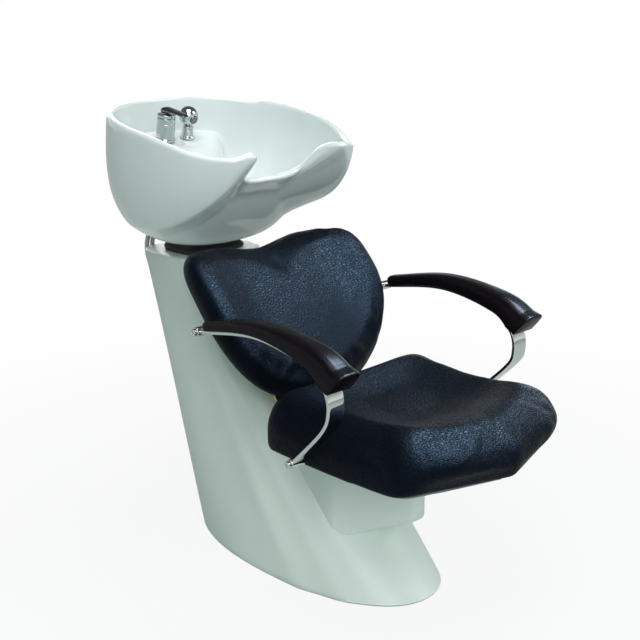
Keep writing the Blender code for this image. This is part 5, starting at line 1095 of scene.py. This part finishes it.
class CHAIR_OT_taps(bpy.types.Operator):
    """Makes the mixer and the hand spray"""

    bl_idname = "chair.taps"
    bl_label = "Taps"

    def execute(self, context):
        axis = tilted_axis()
        deck = DECK_LEVEL + REST_GAP
        foot = tap_place(-TAP_X, 0.0)
        top, tail = deck + COLUMN_HEIGHT, deck - TAIL_DEPTH
        body = rounded([(AXIS, tail), (0.014, tail), (0.014, deck), (COLUMN_FOOT, deck),
                        (COLUMN_FOOT, deck + 0.004), (COLUMN_RADIUS, deck + 0.009),
                        (COLUMN_RADIUS, deck + 0.044), (0.0224, deck + 0.0455),
                        (COLUMN_RADIUS, deck + 0.047), (COLUMN_RADIUS, top), (AXIS, top)], 0.0016)
        dress("mixer_column", revolve(body, foot, axis, 64), "bowl_unit", "chrome", "mixer_body",
              35.0)
        low = top + CAP_GAP
        high = low + CAP_HEIGHT
        cap = rounded([(AXIS, low), (COLUMN_RADIUS, low), (COLUMN_RADIUS, low + 0.0085),
                       (0.019, high), (AXIS, high)], 0.0018)
        dress("mixer_turning_cap", revolve(cap, foot, axis, 64), "mixer_cap", "chrome",
              "mixer_cap", 35.0)
        spot = tilted(np.array([-TAP_X, TAP_Y - 0.0225, low + 0.0046]))
        dot = rounded([(AXIS, -0.001), (0.003, -0.001), (0.003, 0.0012), (AXIS, 0.0016)],
                      0.0006)
        dress("mixer_index_dot", revolve(dot, spot, (0, -axis[2], axis[1]), 24), "mixer_cap",
              "index_blue", "mixer_index")
        dress("mixer_paddle", self.lever(top + LEVER_AXIS), "mixer_lever", "dark_chrome",
              "mixer_lever", 45.0)
        self.spray(axis, deck)
        return {"FINISHED"}

    def lever(self, height):
        """Hub about the lift axis and a dished paddle forward of it: elliptic sections whose
        height falls from the hub's radius to the paddle's thickness."""
        hub = LEVER_HUB
        turn = np.linspace(0.15, math.pi / 2, 9)
        share = np.linspace(0, 1, 40)[1:]
        thin = fade(share, 0.0, 0.45)
        close = np.sqrt(np.clip((1 - share) / 0.10, 0.02, 1))
        y = np.concatenate([hub * np.cos(turn), -LEVER_REACH * share])
        half = np.concatenate([hub * np.sin(turn),
                               close * (PADDLE_HALF + (hub - PADDLE_HALF) * thin)])
        rise = np.concatenate([0 * turn, 0.004 * (1 - thin) * (1 - 0.4 * share ** 2)])
        width = np.concatenate([LEVER_WIDTH * np.sqrt(np.sin(turn)),
                                (LEVER_WIDTH - 0.014 * share ** 1.5) * np.sqrt(close)])
        angle = np.linspace(0, 2 * math.pi, 36, endpoint=False)
        across, up = superellipse(1.0, 1.0, 2.6, angle)
        x = -TAP_X + across[None] * width[:, None] / 2
        z = height + rise[:, None] + up[None] * half[:, None]
        y = TAP_Y + np.broadcast_to(y[:, None], x.shape)
        return tilted(np.stack([x, y, z], axis=-1))

    def spray(self, axis, deck):
        """Guide cone on the deck, and the head: a stem, a collar, a ball and a nozzle face that
        looks forward."""
        foot = tap_place(TAP_X, 0.0)
        top, tail = deck + GUIDE_HEIGHT, deck - TAIL_DEPTH
        guide = rounded([(AXIS, tail), (0.0125, tail), (0.0125, deck), (GUIDE_RADIUS, deck),
                         (GUIDE_RADIUS, deck + 0.0042), (0.0160, deck + 0.008), (0.0135, top),
                         (AXIS, top)], 0.0012)
        dress("spray_guide_cone", revolve(guide, foot, axis, 56), "bowl_unit", "chrome",
              "spray_guide", 35.0)
        low = top + REST_GAP
        reach, ball = BALL_RADIUS, low + BALL_HEIGHT
        polar = np.linspace(-0.80, 0.985, 34) * math.pi / 2
        globe = np.column_stack([reach * np.cos(polar), ball + reach * np.sin(polar)])
        collar = rounded([(AXIS, low - 0.05), (0.009, low - 0.05), (0.009, low), (0.014, low),
                          (0.014, low + 0.007), (0.0095, low + 0.0095),
                          (globe[0, 0], globe[0, 1])], 0.0010)
        dress("spray_ball", revolve(np.vstack([collar, globe[1:]]), foot, axis, 64), "spray",
              "chrome", "spray_head", 35.0)
        pitch = NOZZLE_PITCH + TILT_REST
        face = rounded([(AXIS, reach - 0.004), (0.0110, reach - 0.004), (0.0110, reach - 0.001),
                        (0.0098, reach + 0.0012), (0.0080, reach + 0.0012),
                        (0.0074, reach + 0.0004), (0.0040, reach + 0.0004),
                        (0.0034, reach + 0.0014), (AXIS, reach + 0.0016)], 0.0005)
        ahead = (0, -math.sin(pitch), math.cos(pitch))
        dress("spray_nozzle", revolve(face, tap_place(TAP_X, ball), ahead, 48), "spray",
              "dark_chrome", "spray_face", 30.0)


# Boot, hoses and catch

BOOT_HALF, BOOT_LENGTH, BOOT_Y, BOOT_WALL = 0.090, 0.068, 0.447, 0.005
BOOT_DRAW, BOOT_FOLD = 0.006, 0.0022


class CHAIR_OT_boot(bpy.types.Operator):
    """Makes the rubber boot between the base and the bowl"""

    bl_idname = "chair.boot"
    bl_label = "Boot"

    def execute(self, context):
        angle = np.linspace(0, 2 * math.pi, 96, endpoint=False)
        share = np.linspace(0, 1, 25)

        def rings(inset):
            fold = BOOT_DRAW * ease(share / 0.5) + BOOT_FOLD * np.cos(share * 4 * math.pi)
            draw = fold - BOOT_FOLD + inset
            out = []
            for part, less in zip(share, draw):
                x, y = superellipse(BOOT_HALF - less, BOOT_LENGTH - less, 5.0, angle)
                y = y + BOOT_Y
                roof = TILT_Z + (y - TILT_Y) * math.tan(TILT_REST)
                roof = roof + (BOWL_FOOT - REST_GAP) / math.cos(TILT_REST)
                foot = BASE_HEIGHT + REST_GAP
                out.append(np.stack([x, y, foot + (roof - foot) * part], axis=-1))
            return np.stack(out)

        grid = np.concatenate([rings(0.0), rings(BOOT_WALL)[::-1]])
        boot = loft("tilt_boot_folded", grid, finish("black_rubber"), 50.0, ring=True)
        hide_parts("tilt_boot")
        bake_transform(boot)
        return {"FINISHED"}


HOSE_RADIUS, HOSE_SIDES = 0.006, 20
BRAID_PITCH, BRAID_TURNS = 0.009, 6.0
HOSE_LANE, HOSE_APART, HOSE_TAIL = -0.0928, 0.0085, 0.035
VALVE_X, VALVE_Y, VALVE_Z, VALVE_APART = -0.0843, 0.31065, 0.4356, 0.01275
TAIL_Y, TAIL_Z, TAIL_APART = 0.5563, 0.9116, 0.0068


def hose_route(side):
    """Points from the stop valve inside the base out over the rear panel and up to the mixer:
    a smooth curve through the knots that the frame's own hose follows."""
    shift = side * HOSE_APART
    start_y = VALVE_Y + side * VALVE_APART
    lane, tail_x = HOSE_LANE + shift, -TAP_X + side * TAIL_APART
    back, down = HOSE_TAIL * math.sin(TILT_REST), HOSE_TAIL * math.cos(TILT_REST)
    return smooth_path((
        (VALVE_X, start_y, VALVE_Z), (VALVE_X, start_y + 0.0008, VALVE_Z + 0.034),
        (lane, 0.36365, 0.5138), (lane, 0.43914, 0.5485), (-0.058 + shift, 0.53754, 0.6065),
        (-0.064 + shift, 0.58713, 0.6405), (-0.074 + shift, 0.5825, 0.689),
        (-0.078 + shift, 0.560, 0.7346), (-0.070 + shift, 0.5571, 0.7916),
        (tail_x, TAIL_Y + back, TAIL_Z - down), (tail_x, TAIL_Y, TAIL_Z)), 133)


class CHAIR_OT_hoses(bpy.types.Operator):
    """Makes the two braided supply hoses"""

    bl_idname = "chair.hoses"
    bl_label = "Supply hoses"

    def execute(self, context):
        for side, name in ((1, "cold"), (-1, "hot")):
            route = hose_route(side)
            step = np.linalg.norm(np.diff(route, axis=0), axis=1)
            along = np.concatenate([[0.0], np.cumsum(step)])
            grid = tube(route, HOSE_RADIUS, HOSE_SIDES)
            faces = quads(len(route), HOSE_SIDES)
            out = np.cross(grid[0, 1] - grid[0, 0], grid[1, 0] - grid[0, 0])
            order = slice(None, None, -1 if out @ (grid[0, 0] - route[0]) < 0 else 1)
            hose = put_piece(f"supply_hose_{name}_braided", grid, faces[:, order].tolist(),
                             finish("braided_steel"), recalc=False)
            row, col = np.divmod(np.arange(len(faces)), HOSE_SIDES)
            corner_row = np.stack([row, row, row + 1, row + 1], axis=-1)
            corner_col = np.stack([col, col + 1, col + 1, col], axis=-1)
            chart = np.stack([along[corner_row] / BRAID_PITCH,
                              corner_col * BRAID_TURNS / HOSE_SIDES], axis=-1)[:, order]
            layer = hose.data.uv_layers.new(name="braid")
            layer.data.foreach_set("uv", chart.ravel())
            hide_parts(f"supply_hose_{name}")
            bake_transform(hose)
        return {"FINISHED"}


CATCH_AXIS, CATCH_SPOT = (0.0, 0.98403, -0.17798), (0.0, 0.42581, 0.152)
CATCH_SET = 0.0048
GRIP_STRETCH = 2.9


class CHAIR_OT_catch(bpy.types.Operator):
    """Makes the quarter-turn catch of the rear panel"""

    bl_idname = "chair.catch"
    bl_label = "Panel catch"

    def execute(self, context):
        axis, spot = np.array(CATCH_AXIS), np.array(CATCH_SPOT)
        high = np.array(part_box("panel_catch")[1])
        head = spot + axis * (((high - spot) @ axis) - CATCH_SET)
        disc = rounded([(AXIS, -0.004), (0.012, -0.004), (0.012, 0.003), (0.0095, 0.0042),
                        (AXIS, 0.0042)], 0.0014)
        bar = rounded([(AXIS, 0.0), (0.0030, 0.0), (0.0030, 0.0075), (AXIS, 0.0078)], 0.0010)
        grip = revolve(bar, (0, 0, 0), (0, 0, 1), 24)
        grip[..., 0] *= GRIP_STRETCH
        turn = np.array(Vector((0, 0, 1)).rotation_difference(Vector(axis)).to_matrix())
        grip = grip @ turn.T + head
        piece = bundle("panel_catch_grip", [revolve(disc, head, axis, 40), grip],
                       finish("chrome"), 35.0)
        settle(piece, "panel_catch", "chrome")
        return {"FINISHED"}


# Stage and frame finishes

LENS, CAMERA_ROLL = 66.5, math.radians(-0.35)
CAMERA_PLACE, CAMERA_AIM = Vector((-1.803, -1.920, 1.353)), Vector((0.0, 0.014, 0.585))
LAMP_AIM = Vector((0, 0.05, 0.55))
FLOOR_HALF, FLOOR_POINTS, FLOOR_LEVEL = 14, 15, -0.0006
FLOOR_COLOUR, FLOOR_MIRROR = (0.52, 0.59, 0.565, 1.0), 0.38
SKY_COLOUR, SHEEN_COLOUR = (0.76, 1.0, 0.94, 1.0), (0.70, 0.87, 1.0)
# Groups of pieces, by their slots, that some lamps light alone
SHINING, MOULDINGS, WHITES = "Shining pieces", "Base mouldings", "White pieces"
RECEIVERS = {SHINING: ("navy_leather", "arm_pad_polish"), MOULDINGS: ("gelcoat_white",),
             WHITES: ("gelcoat_white", "glazed_ceramic")}
# Lamps: name, place, size, setting of their power and group that they light
LAMPS = (("Key", (2.1, -1.6, 2.7), 1.4, "key", None),
         ("Top", (-0.8, -0.9, 4.6), 2.6, "top", None),
         ("Front left", (-2.1, -2.7, 2.9), 2.4, "left", None),
         ("Foot", (-0.9, -3.2, 1.3), 1.6, "foot", MOULDINGS),
         ("Rear", (1.4, 3.2, 2.4), 2.2, "rear", WHITES),
         ("Sheen", (1.4, -0.7, 3.0), 1.3, "sheen", SHINING),
         ("Top sheen", (0.35, -1.75, 3.2), 2.0, "roll", SHINING),
         ("Corner sheen", (-1.4, -1.7, 2.3), 1.0, "corner", SHINING),
         ("Side sheen", (2.8, 0.7, 1.1), 1.2, "side", SHINING))


def facing(place, aim):
    """Matrix that stands at a place and looks along -Z at the aim."""
    turn = (aim - place).to_track_quat("-Z", "Y").to_matrix().to_4x4()
    return Matrix.Translation(place) @ turn


class CHAIR_OT_stage(bpy.types.Operator):
    """Makes the floor, the lamps and the camera"""

    bl_idname = "chair.stage"
    bl_label = "Stage"

    def execute(self, context):
        scene = context.scene
        scene.view_settings.view_transform = "Standard"
        self.camera(scene)
        self.floor()
        self.surroundings(scene)
        self.lamps(scene)
        return {"FINISHED"}

    def camera(self, scene):
        """The photograph's own view."""
        data = bpy.data.cameras.new("Photo camera")
        data.sensor_width = 36.0
        data.lens = LENS
        data.clip_end = 60.0
        camera = bpy.data.objects.new("Photo camera", data)
        scene.collection.objects.link(camera)
        roll = Matrix.Rotation(CAMERA_ROLL, 4, "Z")
        camera.matrix_world = facing(CAMERA_PLACE, CAMERA_AIM) @ roll
        scene.camera = camera

    def ray_share(self, nodes, mirror):
        """1 for camera and see-through rays, the mirror's share for glossy rays, and 0 for the
        light that falls."""
        path = nodes.tree.nodes.new("ShaderNodeLightPath").outputs
        total = nodes.math("MULTIPLY", path["Is Glossy Ray"], mirror)
        for kind in ("Is Camera Ray", "Is Transmission Ray"):
            total = nodes.math("MAXIMUM", total, path[kind])
        return total

    def floor(self):
        """A wide flat sheet, pale, lit as it is but shown whiter the further it is from the
        chair."""
        material = bpy.data.materials.new("pale_floor")
        material.use_nodes = True
        nodes = Nodes(material.node_tree)
        nodes.tree.nodes.remove(nodes.tree.nodes["Principled BSDF"])
        matt = nodes.add("BsdfDiffuse", "BSDF", {"Color": FLOOR_COLOUR})
        glow = nodes.add("Emission", "Emission", {})
        far = nodes.add("VectorMath", "Value", {0: nodes.add("TexCoord", "Object", {})},
                        operation="LENGTH")
        share = nodes.math("MULTIPLY", self.ray_share(nodes, FLOOR_MIRROR),
                           nodes.spread(far, 0.89, 1.0, 0.5, 2.2))
        mix = nodes.add("MixShader", "Shader", {"Fac": share, 1: matt, 2: glow})
        nodes.fill(nodes.tree.nodes["Material Output"].inputs["Surface"], mix)
        side = np.linspace(-FLOOR_HALF, FLOOR_HALF, FLOOR_POINTS)
        x, y = np.meshgrid(side, side)
        grid = np.stack([x, y, 0 * x + FLOOR_LEVEL], axis=-1)
        faces = quads(FLOOR_POINTS, FLOOR_POINTS, wrap_cols=False).tolist()
        put_piece("Floor", grid, faces, material, recalc=False)

    def surroundings(self, scene):
        """A tinted sky that lights the chair; white to the camera, and in mirrors white near the
        floor and darker overhead."""
        scene.world = bpy.data.worlds.new("Studio")
        scene.world.use_nodes = True
        nodes = Nodes(scene.world.node_tree)
        sky = nodes.tree.nodes["Background"]
        nodes.fill(sky.inputs["Color"], SKY_COLOUR)
        nodes.fill(sky.inputs["Strength"], scene.chair_light.sky)
        seen = nodes.add("LightPath", "Is Camera Ray", {})
        height = nodes.add("SeparateXYZ", "Z", {"Vector": nodes.add("TexCoord", "Generated", {})})
        level = nodes.math("MAXIMUM", seen, nodes.spread(height, 1.0, 0.12, 0.04, 0.45))
        white = nodes.add("Background", "Background",
                          {"Color": (1.0, 1.0, 1.0, 1.0), "Strength": level})
        mix = nodes.add("MixShader", "Shader", {"Fac": self.ray_share(nodes, 1.0),
                                                1: sky.outputs["Background"], 2: white})
        nodes.fill(nodes.tree.nodes["World Output"].inputs["Surface"], mix)

    def lamps(self, scene):
        """Square lamps; those for the shining pieces are seen in their gloss alone."""
        groups = {name: self.gather(scene, name, slots) for name, slots in RECEIVERS.items()}
        for name, place, size, setting, group in LAMPS:
            data = bpy.data.lights.new(name, "AREA")
            data.shape = "SQUARE"
            data.size = size
            data.energy = getattr(scene.chair_light, setting)
            lamp = bpy.data.objects.new(name, data)
            scene.collection.objects.link(lamp)
            if group == SHINING:
                data.color = SHEEN_COLOUR
                lamp.visible_diffuse = False
            lamp.light_linking.receiver_collection = groups.get(group)
            lamp.matrix_world = facing(Vector(place), LAMP_AIM)

    def gather(self, scene, name, slots):
        """Collection of the pieces that wear the finishes of the slots."""
        group = bpy.data.collections.new(name)
        finishes = {finish(slot) for slot in slots}
        for obj in scene.objects:
            if obj.type == "MESH" and finishes & set(obj.data.materials):
                group.objects.link(obj)
        return group


class CHAIR_OT_hardware(bpy.types.Operator):
    """Gives the frame nodes that stay in view their finishes"""

    bl_idname = "chair.hardware"
    bl_label = "Frame finishes"

    def execute(self, context):
        for part in frame["record"]["subparts"]:
            node = frame["nodes"][part["node"]]
            if not node.hide_render:
                node.data.materials.clear()
                node.data.materials.append(finish(part["material_slot"]))
        return {"FINISHED"}


# Settings, panel and run


def tone(name, words, colour):
    """Setting for a finish's colour."""
    return FloatVectorProperty(name=name, description=words, subtype="COLOR", default=colour,
                               min=0.0, max=1.0)


class ChairTones(bpy.types.PropertyGroup):
    """Colours of the finishes"""

    glaze: tone("Glaze", "Colour of the bowl", (0.785, 0.845, 0.84))
    gelcoat: tone("Gelcoat", "Colour of the base mouldings", (0.72, 0.805, 0.765))
    leather: tone("Leather", "Colour of the pads", (0.0030, 0.0042, 0.0085))
    chrome: tone("Chrome", "Colour of the bright metal", (0.56, 0.60, 0.585))
    dark_chrome: tone("Dark chrome", "Colour of the lever", (0.20, 0.20, 0.21))
    arm_pad: tone("Arm pad", "Colour of the polished arm pads", (0.0068, 0.0048, 0.0064))
    rubber: tone("Rubber", "Colour of the boot and black paint", (0.012, 0.012, 0.013))
    steel: tone("Frame steel", "Colour of the hidden frame", (0.22, 0.23, 0.24))
    zinc: tone("Yellow zinc", "Colour of the back's plate and struts", (0.60, 0.46, 0.20))
    brass: tone("Brass", "Colour of the nuts", (0.66, 0.52, 0.26))
    braid: tone("Braid", "Colour of the hoses", (0.55, 0.56, 0.57))
    board: tone("Board", "Colour of the painted boards", (0.26, 0.29, 0.31))
    plastic: tone("Plastic", "Colour of the waste nut", (0.75, 0.75, 0.73))
    index: tone("Index", "Colour of the mixer's dot", (0.03, 0.06, 0.45))


def watts(name, words, power):
    """Setting for a lamp's power."""
    return FloatProperty(name=name, description=words, default=power, min=0.0, unit="POWER")


class ChairLight(bpy.types.PropertyGroup):
    """Strengths of the lamps"""

    key: watts("Key", "Lamp in front at the right", 30.0)
    top: watts("Top", "Lamp overhead", 94.0)
    left: watts("Front left", "Large lamp in front at the left", 70.0)
    foot: watts("Foot", "Low lamp that only lights the base", 28.0)
    rear: watts("Rear", "Lamp behind that only lights the white pieces", 60.0)
    sheen: watts("Sheen", "Lamp that only the pads' gloss shows", 260.0)
    roll: watts("Top sheen", "High lamp that only the pads' gloss shows", 400.0)
    corner: watts("Corner sheen", "Left lamp that only the pads' gloss shows", 60.0)
    side: watts("Side sheen", "Low lamp that only the pads' gloss shows", 16.0)
    sky: FloatProperty(name="Sky", description="Light from all round", default=0.22, min=0.0)


class CHAIR_PT_panel(bpy.types.Panel):
    """Lists the pieces in the order that they are made"""

    bl_idname = "CHAIR_PT_panel"
    bl_label = "Backwash chair"
    bl_space_type = "VIEW_3D"
    bl_region_type = "UI"
    bl_category = "Backwash chair"

    def draw(self, context):
        for operator in OPERATORS:
            self.layout.operator(operator.bl_idname)
        for group in (context.scene.chair_tones, context.scene.chair_light):
            for key in group.__annotations__:
                self.layout.prop(group, key)


OPERATORS = (CHAIR_OT_bowl, CHAIR_OT_base, CHAIR_OT_seat, CHAIR_OT_back,
             CHAIR_OT_arms, CHAIR_OT_taps, CHAIR_OT_boot, CHAIR_OT_hoses, CHAIR_OT_catch,
             CHAIR_OT_hardware, CHAIR_OT_stage)
CLASSES = (ChairTones, ChairLight, *OPERATORS, CHAIR_PT_panel)


def register():
    for cls in CLASSES:
        bpy.utils.register_class(cls)
    bpy.types.Scene.chair_tones = PointerProperty(type=ChairTones)
    bpy.types.Scene.chair_light = PointerProperty(type=ChairLight)


def unregister():
    del bpy.types.Scene.chair_light
    del bpy.types.Scene.chair_tones
    for cls in reversed(CLASSES):
        bpy.utils.unregister_class(cls)


def main():
    register()
    bpy.ops.chair.bowl()
    bpy.ops.chair.base()
    bpy.ops.chair.seat()
    bpy.ops.chair.back()
    bpy.ops.chair.arms()
    bpy.ops.chair.taps()
    bpy.ops.chair.boot()
    bpy.ops.chair.hoses()
    bpy.ops.chair.catch()
    bpy.ops.chair.hardware()
    bpy.ops.chair.stage()


if __name__ == "__main__":
    main()
